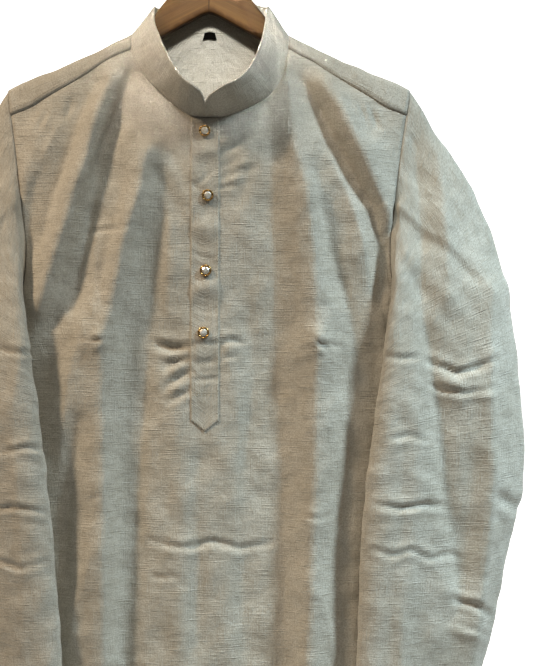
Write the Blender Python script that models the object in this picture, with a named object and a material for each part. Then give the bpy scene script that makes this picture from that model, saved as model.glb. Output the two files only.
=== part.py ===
"""A kurta hanging on a wooden hanger, as separate solids in one frame.

Sizes are in millimetres. X runs to the wearer's left, which is the right of the photo, the front
faces -Y and Z is up. The origin is the point where the hook rests on its rail.
Each cloth piece is one wall, built on the grid of points that lies in the middle of its cloth.
Pieces that are sewn together share the points of their seam, and each stops a little short of it.
"""

import math

import bpy
import numpy as np

# cloth
CLOTH = 1.2
COLLAR_CLOTH = 2.0
PLACKET_CLOTH = 1.2
LABEL_CLOTH = 0.9
SEAM_GAP = 0.15
LAYER_GAP = 0.35

# body of the kurta
HEM_Z = -1166.0
UNDERARM_Z = -450.0
SLIT_TOP_Z = -905.0
SLIT_OPENING = 9.0
FRONT_DEPTH = 48.0
BACK_DEPTH = 41.0
SIDE_ROUNDNESS = 2.6
RIDGE_DEPTH = 11.0
RIDGE_DEPTH_AT_TIP = 14.0
RIDGE_DROP = 12.0
FILL_DROP = 90.0
SIDE_X_NEAR_CENTRE = 210.0

# collar, placket, buttons, label
COLLAR_HEIGHT = 39.0
COLLAR_END_HEIGHT = 10.0
CENTRE_FRONT_X = -1.5
PLACKET_X = (-17.5, -9.5, CENTRE_FRONT_X, 5.5, 12.5)
PLACKET_TOP_DROP = 2.5
PLACKET_SHOULDER_Z = -556.0
PLACKET_TIP_Z = -568.0
BUTTON_DIAMETER = 12.7
BUTTON_HEIGHT = 4.0
BUTTON_XZ = ((-2.9, -243.5), (0.3, -314.0), (-1.8, -395.0), (-4.0, -462.0))
BUTTON_AROUND = 16
# radius as a share of the button's, and height, from the back of its rim to the foot of its dome
BUTTON_PROFILE = ((0.80, 0.0), (1.0, 1.0), (0.97, 2.4), (0.82, 2.9), (0.70, 2.3), (0.45, 3.4))
LABEL_DROP = 8.5

# hanger
BOARD_THICKNESS = 14.0
BOARD_HALF_WIDTH = 205.0
WIRE_DIAMETER = 3.8

# x, z of the top of the shoulder, the same on both sides
SHOULDER = ((0, -100), (30, -107), (60, -119), (92, -133.8), (118, -146.8), (146, -160), (178, -173.3),
            (211, -187), (222, -193.5))
# z, x of the side of the body where it would reach without armholes
SIDE = ((-1166, 272), (-950, 253), (-700, 235), (-450, 224), (-300, 242), (-190, 260))
# z, x of the armhole seam, in front and behind
ARMHOLE_FRONT = ((-450, 224), (-443, 217), (-430, 209), (-410, 202), (-380, 198), (-337, 201.5), (-290, 207),
                 (-236, 215), (-205, 220.5), (-193.5, 222))
ARMHOLE_BACK = ((-450, 224), (-443, 219), (-430, 213), (-410, 208), (-380, 205), (-337, 206), (-290, 210),
                (-236, 217), (-205, 220.5), (-193.5, 222))
# x, z of the neck seam in front, from the centre outwards, and of the yoke seam from there on
NECK_LEFT = ((-17.5, -226), (-32, -218), (-46, -206), (-59, -193), (-70, -180), (-79, -165), (-84.6, -149))
NECK_RIGHT = ((12.5, -228), (24, -225), (37, -220), (51, -214), (65, -204), (77, -190), (84.5, -171),
              (87.3, -149))
YOKE_SEAM = ((86, -149), (114, -162.5), (134, -176), (172, -199), (209, -221.5))
# The neck seam from the end of the front seam over the shoulder to centre back: x, and how far behind
# the top of the shoulder it lies along the cloth
NECK_OVER = ((87.3, -13), (87.0, -6.5), (86.3, 0), (83.6, 6.5), (77.5, 11.5), (68.5, 15.5), (58, 18.5), (47.5, 20.8),
             (37, 23), (26.5, 25), (16.5, 26.6), (6.5, 27.8), (0, 28))
# The same for the far edge of the yoke: up to the armhole, then along the seam above the back
ARMHOLE_M = (-20, -8, 0, 8, 20, 36)
YOKE_BACK_X = (217, 200, 170, 135, 98, 62, 29, 0)
YOKE_BACK_SEAM = ((0, -226), (110, -230), (220, -237))

# Folds that run down the front. Each path is x at a few heights z, crest is the height of the fold,
# and inner and outer are its widths towards the centre line and towards the sleeve.
FRONT_FOLDS = (
    # crest, inner, outer, ((z, x), ...)
    (11.0, 15, 30, ((-202, -108), (-266, -128), (-330, -149), (-395, -168), (-460, -198), (-1166, -215))),
    (9.0, 20, 30, ((-266, -66), (-330, -80), (-395, -98), (-460, -115), (-700, -117), (-1166, -135))),
    (6.0, 12, 20, ((-180, -160), (-234, -181), (-298, -200), (-1166, -230))),
    (5.5, 16, 24, ((-520, -29), (-700, -28), (-1166, -34))),
    (9.0, 22, 34, ((-266, 99), (-330, 106), (-395, 113), (-460, 119), (-700, 114), (-1166, 122))),
    (11.0, 15, 30, ((-170, 114), (-202, 127), (-266, 161), (-330, 190), (-460, 205), (-1166, 222))),
    (5.0, 18, 22, ((-360, 168), (-460, 160), (-700, 156), (-1166, 172))),
    (-5.0, 30, 26, ((-460, 70), (-700, 62), (-1166, 60))),
)
BACK_FOLDS = (
    (8.0, 24, 34, ((-240, -130), (-450, -140), (-700, -128), (-1166, -150))),
    (8.5, 26, 30, ((-240, -52), (-450, -60), (-700, -66), (-1166, -72))),
    (7.0, 26, 26, ((-240, 22), (-450, 14), (-700, 20), (-1166, 16))),
    (8.5, 30, 26, ((-240, 86), (-450, 84), (-700, 92), (-1166, 100))),
    (8.0, 24, 34, ((-240, 150), (-450, 152), (-700, 160), (-1166, 176))),
)
# Sleeve: the point on its outer edge and the point on its inner edge that each ring runs through,
# from the armhole to the cuff, and the half depth of the ring.
SLEEVE_LEFT = (
    # share, out_x, out_y, out_z, in_x, in_y, in_z, half_depth
    (0.00, 222, 0, -193.5, 199, -30, -395, 26),
    (0.05, 231, -1, -205, 199, -37, -402, 26),
    (0.12, 252, -3, -246, 198, -45, -412, 26),
    (0.20, 284, -5, -291, 195.5, -52, -428, 26),
    (0.30, 309, -7, -350, 191, -58, -455, 24),
    (0.42, 328, -9, -428, 186, -61, -500, 23),
    (0.55, 341, -10, -533, 178, -64, -562, 21),
    (0.66, 344, -10, -622, 169.5, -65, -630, 20),
    (0.72, 336, -11, -660, 166, -65, -666, 19),
    (0.80, 323, -12, -714, 163.5, -65, -716, 19),
    (0.90, 307, -13, -785, 161, -65, -785, 18),
    (1.00, 290, -14, -850, 159, -64, -850, 17),
)
SLEEVE_RIGHT = (
    # share, out_x, out_y, out_z, in_x, in_y, in_z, half_depth
    (0.00, 222, 0, -193.5, 199, -30, -395, 26),
    (0.05, 230, -1, -206, 199, -37, -402, 26),
    (0.12, 250, -3, -248, 198, -45, -412, 26),
    (0.20, 281, -5, -293, 195.5, -52, -428, 26),
    (0.30, 306, -7, -352, 192, -58, -455, 24),
    (0.42, 326, -9, -430, 186, -61, -500, 23),
    (0.55, 338, -10, -535, 177, -64, -562, 21),
    (0.66, 338, -10, -622, 169, -65, -630, 20),
    (0.72, 331, -11, -662, 165.5, -65, -666, 19),
    (0.80, 320, -12, -716, 161.5, -65, -716, 19),
    (0.90, 304, -13, -786, 156, -65, -785, 18),
    (1.00, 287, -14, -850, 152.5, -64, -850, 17),
)
SLEEVE_REST_GAP = 6.0
UNDERARM_EASE = (9.0, 0.0, 6.0)
FRONT_UNDERARM_ROW = 10
BACK_UNDERARM_ROW = 8
# share of the way round the collar from centre front to centre back, and the direction of the band there
COLLAR_LEAN = (
    # share, inwards, backwards, up
    (0.00, 0.05, -0.74, 0.62),
    (0.22, 0.38, -0.70, 0.52),
    (0.38, 0.62, -0.42, 0.60),
    (0.50, 0.66, -0.12, 0.74),
    (0.62, 0.60, 0.02, 0.80),
    (0.78, 0.20, 0.02, 0.98),
    (1.00, 0.00, -0.04, 1.00),
)
# x, z of the top of the hanger board inside the neck, and of its bottom edge
BOARD_NECK = ((0, -65), (20, -69), (35, -79.5), (48, -93), (60, -109), (75, -127.5), (84, -136.5), (94, -139.5))
BOARD_DROP = 2.0
BOARD_BOTTOM = ((0, -105.6), (54, -135.4), (100, -160.5), (150, -184), (190, -201), (205, -205))
# x, z of the middle of the hook wire
HOOK = ((0, -64.7), (0, -50), (5, -40), (15, -31.5), (20, -18), (17.3, -8), (10, -0.6), (0, 1.9),
        (-10, -0.6), (-17.3, -8), (-20, -18), (-17.5, -27))


def curve(table, at):
    """A smooth line through the rows of a table, read at the first column."""
    rows = np.array(sorted(table), float)
    at = np.clip(np.asarray(at, float), rows[0, 0], rows[-1, 0])
    x, y = rows[:, 0], rows[:, 1:]
    step = np.diff(x)[:, None]
    rise = np.diff(y, axis=0) / step
    slope = np.vstack([rise[:1], (rise[1:] * step[:-1] + rise[:-1] * step[1:]) / (step[1:] + step[:-1]), rise[-1:]])
    k = np.clip(np.searchsorted(x, at) - 1, 0, len(x) - 2)
    t = ((at - x[k]) / step[k, 0])[..., None]
    found = (
        y[k] * (1 + 2 * t) * (1 - t) ** 2
        + y[k + 1] * t * t * (3 - 2 * t)
        + slope[k] * step[k] * t * (1 - t) ** 2
        + slope[k + 1] * step[k] * t * t * (t - 1)
    )
    return found[..., 0] if y.shape[1] == 1 else found


def ease(t):
    t = np.clip(t, 0.0, 1.0)
    return t * t * (3 - 2 * t)


def unit(v):
    return v / np.maximum(np.linalg.norm(v, axis=-1, keepdims=True), 1e-9)


def along(points, count):
    """Points spaced evenly along a line through the given ones."""
    points = np.asarray(points, float)
    run = np.concatenate([[0], np.cumsum(np.linalg.norm(np.diff(points, axis=0), axis=1))])
    table = [(r, *p) for r, p in zip(run, points)]
    return curve(table, np.linspace(0, run[-1], count + 1))


def shoulder_z(x):
    return curve(SHOULDER, np.abs(x)) - CLOTH / 2


def folds(rows, x, z, top_z):
    """How far the folds lift the cloth at x, z. They grow from nothing at its top edge."""
    lift = np.zeros(np.broadcast(x, z).shape)
    for crest, inner, outer, path in rows:
        middle = curve(path, z)
        away = np.sign(middle) * (x - middle)
        width = np.where(away > 0, outer, inner)
        start = path[0][0]
        lift = lift + crest * np.exp(-((away / width) ** 2)) * ease((start + 60 - z) / 90)
    return lift * ease((top_z - z) / 50)


def depth_at(x, z, depth):
    """Half depth of the body, front or back, at x, z."""
    ridge = RIDGE_DEPTH + (RIDGE_DEPTH_AT_TIP - RIDGE_DEPTH) * ease((np.abs(x) - 120) / 80)
    drop = np.maximum(shoulder_z(x) - z, 0)
    cap = ridge * np.sqrt(1 - (1 - np.minimum(drop, RIDGE_DROP) / RIDGE_DROP) ** 2)
    fill = (depth - ridge) * (1 - np.exp(-((drop / FILL_DROP) ** 1.3)))
    share = np.clip(np.abs(x) / curve(SIDE, z), 0, 1)
    side = (1 - share**SIDE_ROUNDNESS) ** (1 / SIDE_ROUNDNESS)
    slit = SLIT_OPENING * ease((SLIT_TOP_Z - z) / (SLIT_TOP_Z - HEM_Z)) * share**4
    return (cap + fill) * side + slit


def front_y(x, z, top_z):
    share = np.clip(np.abs(x) / curve(SIDE, z), 0, 1)
    return -depth_at(x, z, FRONT_DEPTH) - folds(FRONT_FOLDS, x, z, top_z) * (1 - share**6)


def back_y(x, z, top_z):
    share = np.clip(np.abs(x) / curve(SIDE, z), 0, 1)
    return depth_at(x, z, BACK_DEPTH) + folds(BACK_FOLDS, x, z, top_z) * (1 - share**6)


def over_shoulder(x, m):
    """The point that lies m behind the top of the shoulder, along the cloth, or in front of it."""
    quarter = RIDGE_DROP * 1.4
    turn = np.minimum(np.abs(m) / quarter, 1) * math.pi / 2
    drop = RIDGE_DROP * (1 - np.cos(turn)) + np.maximum(np.abs(m) - quarter, 0)
    z = shoulder_z(x) - drop
    y = np.where(m < 0, -depth_at(x, z, FRONT_DEPTH), depth_at(x, z, BACK_DEPTH))
    return np.stack(np.broadcast_arrays(x, y, z), axis=-1)


def m_of(x, z, behind):
    quarter = RIDGE_DROP * 1.4
    drop = shoulder_z(x) - z
    turn = np.arccos(np.clip(1 - drop / RIDGE_DROP, 0, 1))
    m = np.where(drop < RIDGE_DROP, turn * quarter * 2 / math.pi, quarter + drop - RIDGE_DROP)
    return m if behind else -m


def share_of(x, side_x):
    """Where x lies between the centre, 0, and the edge of the panel, 1 or -1."""
    s = np.linspace(-1, 1, 801)
    near = SIDE_X_NEAR_CENTRE
    return np.array([np.interp(a, s * (near + (b - near) * s * s), s) for a, b in zip(x, side_x)])


def x_at(share, side_x):
    near = SIDE_X_NEAR_CENTRE
    return share * (near + (side_x - near) * share * share)


def panel_x(armhole, z):
    return np.where(z > UNDERARM_Z, curve(armhole, z), curve(SIDE, z))


def front_grid(seam_steps, neck_steps, rows_above, rows_below):
    """The points of the front, row by row from its top edge, each row from -X to +X."""
    yoke = along([(x, z) for x, z in YOKE_SEAM], seam_steps)
    left = along([(x, z) for x, z in NECK_LEFT], neck_steps)
    right = along([(x, z) for x, z in NECK_RIGHT], neck_steps + 1)
    seam_left = yoke[::-1] * (-1, 1)
    seam_left[-1] = left[-1]
    seam_right = yoke.copy()
    seam_right[0] = right[-1]
    middle = np.array([(x, -228.0 if x > -10 else -227.3) for x in PLACKET_X])
    top = np.vstack([seam_left, left[::-1][1:-1], middle[:1], middle[1:-1], right, seam_right[1:]])
    middle_at = [int(np.argmin(abs(top[:, 0] - x))) for x in PLACKET_X]
    top[middle_at[0], 1] = -226.5
    top_share = share_of(top[:, 0], curve(ARMHOLE_FRONT, top[:, 1]))
    top_share[0], top_share[-1] = -1, 1
    low_share = np.interp(
        np.arange(len(top)),
        [0, 1, 2, 4, middle_at[0], middle_at[-1], len(top) - 5, len(top) - 3, len(top) - 2, len(top) - 1],
        [-1, -0.988, -0.95, -0.83, top_share[middle_at[0]], top_share[middle_at[-1]], 0.83, 0.95, 0.988, 1],
    )
    for k in middle_at:
        low_share[k] = top_share[k]
    edge_z = np.concatenate([
        np.linspace(top[0, 1], -395, rows_above - 4),
        [-416, -432, -443.5, UNDERARM_Z],
        UNDERARM_Z + (HEM_Z - UNDERARM_Z) * np.linspace(0, 1, rows_below + 1)[1:] ** 1.08,
    ])
    down = (edge_z - edge_z[0]) / (edge_z[-1] - edge_z[0])
    share = top_share + (low_share - top_share) * ease(down[:, None] / 0.3)
    z = top[:, 1] + (HEM_Z - top[:, 1]) * down[:, None]
    z[:, 0] = z[:, -1] = edge_z
    x = x_at(share, panel_x(ARMHOLE_FRONT, z))
    x[0, 1:-1] = top[1:-1, 0]
    y = front_y(x, z, np.broadcast_to(top[:, 1], z.shape))
    return np.stack([x, y, z], axis=-1), middle_at


def yoke_grid(front, first_neck, last_neck):
    """The points of the yoke. Each row starts on the neck seam. The first and the last row are its
    front seams, and the rows between them go round the back of the neck."""
    spokes = []
    for sign, seam in ((-1, front[0, first_neck::-1]), (1, front[0, last_neck:])):
        m_seam = m_of(seam[:, 0], seam[:, 2], False)
        neck_x = abs(seam[0, 0]) / NECK_OVER[0][0]
        inner = np.array([(sign * x * neck_x, m) for x, m in NECK_OVER])
        inner[-1, 0] = 0
        outer = [(sign * float(armhole_x(np.array([sign * 215.0]), np.array([m]))[0] * sign), m) for m in ARMHOLE_M]
        for x in YOKE_BACK_X:
            z = float(curve(YOKE_BACK_SEAM, x))
            outer.append((sign * x, float(m_of(np.array(x), np.array(z), True))))
        outer = np.array(outer)
        go = np.linspace(0, 1, len(seam))[:, None]
        lines = [np.stack([seam[:, 0], m_seam], axis=-1)]
        for near, far in zip(resample(inner, len(outer)), outer):
            lines.append(near + (far - near) * go)
        lines = np.array(lines)
        points = over_shoulder(lines[..., 0], lines[..., 1])
        points[0] = seam
        spokes.append(points)
    return np.vstack([spokes[0], spokes[1][-2::-1]])


def resample(points, count):
    """As many points as asked for: the first four as they are, the rest spread over the line."""
    if len(points) == count:
        return points
    start = points[:4]
    rest = points[3:]
    at = np.linspace(0, len(rest) - 1, count - 3)
    found = np.stack([np.interp(at, np.arange(len(rest)), rest[:, axis]) for axis in range(2)], axis=-1)
    return np.vstack([start[:3], found])


def armhole_x(x, m):
    """The x of the armhole at each m, found in a few steps."""
    sign = np.sign(x)
    for _ in range(6):
        z = over_shoulder(x, m)[..., 2]
        x = sign * np.where(m < 0, curve(ARMHOLE_FRONT, z), curve(ARMHOLE_BACK, z))
    return x


def back_grid(yoke, rows_above, rows_below):
    seam = yoke[len(ARMHOLE_M) + 1 : -len(ARMHOLE_M) - 1, -1]
    top = np.repeat(seam, 2, axis=0)[:-1]
    top[1::2] = (seam[:-1] + seam[1:]) / 2
    edge_z = np.concatenate([
        np.linspace(top[0, 2], -400, rows_above - 3),
        [-425, -442, UNDERARM_Z],
        UNDERARM_Z + (HEM_Z - UNDERARM_Z) * np.linspace(0, 1, rows_below + 1)[1:] ** 1.08,
    ])
    down = (edge_z - edge_z[0]) / (edge_z[-1] - edge_z[0])
    z = top[:, 2] + (HEM_Z - top[:, 2]) * down[:, None]
    z[:, 0] = z[:, -1] = edge_z
    share = share_of(top[:, 0], curve(ARMHOLE_BACK, top[:, 2]))
    share[0], share[-1] = -1, 1
    low = np.interp(np.arange(len(top)), [0, 1, 2, 4, len(top) - 5, len(top) - 3, len(top) - 2, len(top) - 1],
                    [-1, -0.988, -0.95, -0.83, 0.83, 0.95, 0.988, 1])
    share = share + (low - share) * ease(down[:, None] / 0.3)
    x = x_at(share, panel_x(ARMHOLE_BACK, z))
    y = back_y(x, z, np.broadcast_to(top[:, 2], z.shape))
    grid = np.stack([x, y, z], axis=-1)
    grid[0] = top
    return grid


def body_in_front(x, z):
    """How far forward the body reaches beside the sleeve, and on past its side."""
    side = curve(SIDE, z)
    inside = np.minimum(np.abs(x), side)
    y = front_y(np.sign(x) * inside, z, z + 200)
    return y + np.maximum(np.abs(x) - side, 0) * 0.8


def clear_of_body(ring, loop, turn):
    """Moves the points of a ring that would lie in the body: outwards by the armhole's back, else forwards."""
    x, y, z = ring.T.copy()
    keep = np.minimum(SLEEVE_REST_GAP, np.linalg.norm(ring - loop, axis=1) * 0.45)
    reach = np.where(z > UNDERARM_Z, curve(ARMHOLE_BACK, z), curve(SIDE, z))
    behind = (np.abs(x) < reach + keep) & (turn > math.pi * 1.3) & (z > UNDERARM_Z - 18)
    ring[:, 0] = np.where(behind, np.sign(x) * (reach + keep), x)
    limit = body_in_front(x, z) - keep
    before = (np.abs(x) < curve(SIDE, z) + 25) & ((z < UNDERARM_Z) | (np.abs(x) < reach)) & ~behind
    ring[:, 1] = np.where(before & (y > limit) & (z < -300), limit, y)
    return ring


def sleeve_grid(sign, front, yoke, back, table, rings):
    """The points of a sleeve, ring by ring from the armhole, each ring from the tip of the shoulder."""
    edge = -1 if sign > 0 else 0
    shoulder = yoke[::-1, -1] if sign > 0 else yoke[:, -1]
    shoulder = shoulder[: len(ARMHOLE_M) + 2]
    ridge = int(np.argmax(shoulder[:, 2]))
    down_front = np.vstack([shoulder[ridge::-1], front[1 : FRONT_UNDERARM_ROW + 1, edge]])
    up_back = np.vstack([back[BACK_UNDERARM_ROW - 1 :: -1, edge], shoulder[-2:ridge:-1]])
    loop = np.vstack([down_front, up_back])
    run = np.concatenate([[0], np.cumsum(np.linalg.norm(np.diff(np.vstack([loop, loop[:1]]), axis=0), axis=1))])
    total = run[-1]
    run = run[:-1]
    inner = int(np.argmin(np.abs(down_front[:, 2] - table[0][6])))
    under = len(down_front) - 1
    turn = np.interp(run, [0, run[inner], run[under], total], [0, 1, 1.42, 2]) * math.pi
    e = np.cos(turn)
    across = np.sign(np.sin(turn)) * (1 - np.abs(e) ** 2.4) ** (1 / 2.4)
    shares = np.linspace(0, 1, rings + 1) ** 0.92
    rows = curve(table, shares)
    grid = []
    for share, (ox, oy, oz, ix, iy, iz, depth) in zip(shares, rows):
        out = np.array([ox, oy, oz])
        low = np.array([ix, iy, iz])
        middle, half_axis = (out + low) / 2, (out - low) / 2
        face = np.array([0.0, -1.0, 0.0])
        face = unit(face - unit(half_axis) * np.dot(face, unit(half_axis)))
        ring = middle + e[:, None] * half_axis + (across * depth)[:, None] * face
        grid.append(ring * (sign, 1, 1))
    grid = np.array(grid)
    left_over = loop - grid[0]
    for k in range(rings + 1):
        grid[k] = grid[k] + left_over * (1 - ease(shares[k] / 0.6))
    away = np.exp(-(((turn - turn[under]) / 1.0) ** 2))
    for k in range(1, rings + 1):
        rise = min(shares[k] / 0.06, 1) * math.exp(-shares[k] / 0.35)
        grid[k] = grid[k] + np.outer(away * rise, UNDERARM_EASE) * (sign, 1, 1)
        grid[k] = clear_of_body(grid[k], loop, turn)
    return grid


def normals(grid, ring, flip):
    """The direction out of the cloth at each point of a grid."""
    if ring:
        across = np.roll(grid, -1, axis=1) - np.roll(grid, 1, axis=1)
    else:
        across = np.gradient(grid, axis=1)
    found = unit(np.cross(np.gradient(grid, axis=0), across))
    return -found if flip else found


def share_seams(pieces):
    """Gives all the pieces that meet at a point one direction there, so that their edges are mitred."""
    met = {}
    for piece in pieces:
        for at in piece["border"]:
            key = tuple(np.round(piece["grid"][at], 2))
            met.setdefault(key, []).append((piece, at))
    for users in met.values():
        if len(users) < 2:
            continue
        shared = unit(sum(piece["normal"][at] for piece, at in users))
        for piece, at in users:
            piece["normal"][at] = shared


def border_of(shape, ring):
    rows, columns = shape[:2]
    found = [(r, c) for r in (0, rows - 1) for c in range(columns)]
    if not ring:
        found += [(r, c) for r in range(1, rows - 1) for c in (0, columns - 1)]
    return found


def pull_back(piece):
    """Moves the border of a piece inwards by half the gap of a seam."""
    grid, normal, ring = piece["grid"], piece["normal"], piece["ring"]
    rows, columns = grid.shape[:2]
    moved = grid.copy()
    for r, c in piece["border"]:
        step = np.zeros(3)
        if r in (0, rows - 1):
            inner = grid[1 if r == 0 else rows - 2, c] - grid[r, c]
            if ring:
                tangent = grid[r, (c + 1) % columns] - grid[r, c - 1]
            else:
                tangent = grid[r, min(c + 1, columns - 1)] - grid[r, max(c - 1, 0)]
            step = step + inward(inner, tangent, normal[r, c])
        if not ring and c in (0, columns - 1):
            inner = grid[r, 1 if c == 0 else columns - 2] - grid[r, c]
            tangent = grid[min(r + 1, rows - 1), c] - grid[max(r - 1, 0), c]
            step = step + inward(inner, tangent, normal[r, c])
        moved[r, c] = grid[r, c] + step * SEAM_GAP
    piece["grid"] = moved


def inward(inner, tangent, normal):
    direction = unit(np.cross(normal, tangent))
    return direction if np.dot(direction, inner) > 0 else -direction


def piece_of(name, grid, ring=False, flip=False, cloth=CLOTH):
    return {
        "name": name,
        "grid": grid,
        "ring": ring,
        "cloth": cloth,
        "normal": normals(grid, ring, flip),
        "border": border_of(grid.shape, ring),
    }


def wall(piece):
    """The closed wall of one piece: points and triangles."""
    grid, normal, ring = piece["grid"], piece["normal"], piece["ring"]
    rows, columns = grid.shape[:2]
    outer = grid + normal * piece["cloth"] / 2
    inner = grid - normal * piece["cloth"] / 2
    points = np.concatenate([outer.reshape(-1, 3), inner.reshape(-1, 3)])
    half = rows * columns
    at = lambda r, c: r * columns + c % columns
    faces = []
    for r in range(rows - 1):
        for c in range(columns if ring else columns - 1):
            a, b, d, e = at(r, c), at(r, c + 1), at(r + 1, c), at(r + 1, c + 1)
            faces += [(a, d, b), (b, d, e)]
            faces += [(a + half, b + half, d + half), (b + half, e + half, d + half)]
    for r, turned in ((0, False), (rows - 1, True)):
        for c in range(columns if ring else columns - 1):
            faces += rim(points, at(r, c), at(r, c + 1), half, turned)
    if not ring:
        for c, turned in ((0, True), (columns - 1, False)):
            for r in range(rows - 1):
                faces += rim(points, at(r, c), at(r + 1, c), half, turned)
    return points, faces


def rim(points, a, b, half, turned):
    """The two triangles that close the edge from a to b, split along the shorter diagonal."""
    if np.linalg.norm(points[a] - points[b + half]) < np.linalg.norm(points[b] - points[a + half]):
        faces = [(a, b, b + half), (a, b + half, a + half)]
    else:
        faces = [(a, b, a + half), (b, b + half, a + half)]
    return [face[::-1] for face in faces] if turned else faces


def add_solid(name, points, faces):
    """Makes the Blender object, with its faces turned outwards."""
    points = np.asarray(points, float)
    faces = np.asarray(faces)
    corners = points[faces]
    if np.einsum("ij,ij->i", corners[:, 0], np.cross(corners[:, 1], corners[:, 2])).sum() < 0:
        faces = faces[:, ::-1]
    mesh = bpy.data.meshes.new(name)
    mesh.from_pydata((points * 0.001).tolist(), [], faces.tolist())
    mesh.update()
    obj = bpy.data.objects.new(name, mesh)
    bpy.context.scene.collection.objects.link(obj)
    return obj


def collar_grid(front, yoke, first_neck, last_neck, steps_up):
    """The points of the stand collar, from its left end round the back to its right end."""
    centre = int(np.argmin(abs(front[0, :, 0] - CENTRE_FRONT_X)))
    left = front[0, centre:first_neck:-1]
    right = front[0, last_neck - 1 : centre - 1 : -1]
    seam = np.vstack([left, yoke[:, 0], right])
    run = np.concatenate([[0], np.cumsum(np.linalg.norm(np.diff(seam, axis=0), axis=1))])
    share = np.minimum(run, run[-1] - run) / (run[-1] / 2)
    lean = curve(COLLAR_LEAN, share)
    side = np.sign(seam[:, 0] - CENTRE_FRONT_X)
    direction = unit(np.stack([-side * lean[:, 0], lean[:, 1], lean[:, 2]], axis=-1))
    from_left, from_right = run, run[-1] - run
    end_left = np.sqrt(np.clip(1 - (1 - np.clip(from_left / 21, 0, 1)) ** 2, 0, 1))
    end_right = np.sqrt(np.clip(1 - (1 - np.clip(from_right / 40, 0, 1)) ** 2, 0, 1))
    height = COLLAR_END_HEIGHT + (COLLAR_HEIGHT - COLLAR_END_HEIGHT) * np.minimum(end_left, end_right)
    rows = []
    for k in range(steps_up + 1):
        up = k / steps_up
        rows.append(seam + direction * (height * up)[:, None])
    return np.array(rows)


def placket_piece(front_piece, middle_at):
    """The placket: the middle of the front moved out, down to its pointed end."""
    columns = slice(middle_at[0], middle_at[-1] + 1)
    grid, normal = front_piece["grid"][:, columns], front_piece["normal"][:, columns]
    middle_z = (PLACKET_SHOULDER_Z + PLACKET_TIP_Z) / 2
    ends = (PLACKET_SHOULDER_Z, middle_z, PLACKET_TIP_Z, middle_z, PLACKET_SHOULDER_Z)
    first = grid[0, :, 2] - PLACKET_TOP_DROP
    kept = [k for k in range(len(grid)) if grid[k, 0, 2] < first[0] - 8 and grid[k, 0, 2] > PLACKET_SHOULDER_Z + 8]
    rows, directions = [], []
    for heights in [first] + [grid[k, :, 2] for k in kept] + [ends]:
        rows.append([at_height(grid[:, c], grid[:, c, 2], z) for c, z in enumerate(heights)])
        directions.append([at_height(normal[:, c], grid[:, c, 2], z) for c, z in enumerate(heights)])
    directions = unit(np.array(directions))
    piece = piece_of("placket", np.array(rows), cloth=PLACKET_CLOTH)
    piece["grid"] = piece["grid"] + directions * (CLOTH / 2 + LAYER_GAP + PLACKET_CLOTH / 2)
    piece["normal"] = directions
    return piece


def at_height(values, heights, z):
    return [np.interp(-z, -heights, values[:, axis]) for axis in range(3)]


def button(name, x, z, placket):
    """A domed button with a raised rim, standing on the placket."""
    cloth = placket["grid"] + placket["normal"] * PLACKET_CLOTH / 2
    flat = cloth.reshape(-1, 3)
    near = np.argsort((flat[:, 0] - x) ** 2 + (flat[:, 2] - z) ** 2)[:6]
    axis = unit(placket["normal"].reshape(-1, 3)[near].mean(axis=0))
    right = unit(np.cross(axis, (0.0, 0.0, 1.0)))
    up = np.cross(right, axis)
    centre = np.array([x, surface_y(cloth, x, z), z])
    radius = BUTTON_DIAMETER / 2
    highest = 0.0
    for turn in np.linspace(0, 2 * math.pi, 16, endpoint=False):
        p = centre + (right * math.cos(turn) + up * math.sin(turn)) * radius
        highest = max(highest, (p[1] - surface_y(cloth, p[0], p[2])) * -axis[1])
    base = centre + axis * (highest + LAYER_GAP)
    points, faces = [base], []
    for share, height in BUTTON_PROFILE:
        for k in range(BUTTON_AROUND):
            turn = 2 * math.pi * k / BUTTON_AROUND
            spoke = right * math.cos(turn) + up * math.sin(turn)
            points.append(base + spoke * radius * share + axis * height)
    points.append(base + axis * BUTTON_HEIGHT)
    last = 1 + (len(BUTTON_PROFILE) - 1) * BUTTON_AROUND
    for k in range(BUTTON_AROUND):
        n = (k + 1) % BUTTON_AROUND
        faces.append((0, 1 + n, 1 + k))
        for a in range(1, last, BUTTON_AROUND):
            b = a + BUTTON_AROUND
            faces += [(a + k, a + n, b + k), (a + n, b + n, b + k)]
        faces.append((last + k, last + n, len(points) - 1))
    add_solid(name, points, faces)


def surface_y(grid, x, z):
    """The y of the cloth at x, z, from the triangles of its grid. The value furthest forward is taken."""
    best = None
    rows, columns = grid.shape[:2]
    for r in range(rows - 1):
        for c in range(columns - 1):
            a, b, d, e = grid[r, c], grid[r, c + 1], grid[r + 1, c], grid[r + 1, c + 1]
            for p, q, s in ((a, d, b), (b, d, e)):
                m = np.array([[q[0] - p[0], s[0] - p[0]], [q[2] - p[2], s[2] - p[2]]])
                det = np.linalg.det(m)
                if abs(det) < 1e-9:
                    continue
                u, v = np.linalg.solve(m, (x - p[0], z - p[2]))
                if u >= -0.02 and v >= -0.02 and u + v <= 1.02:
                    y = p[1] + u * (q[1] - p[1]) + v * (s[1] - p[1])
                    best = y if best is None else min(best, y)
    if best is None:
        flat = grid.reshape(-1, 3)
        best = flat[np.argmin((flat[:, 0] - x) ** 2 + (flat[:, 2] - z) ** 2), 1]
    return float(best)


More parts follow.
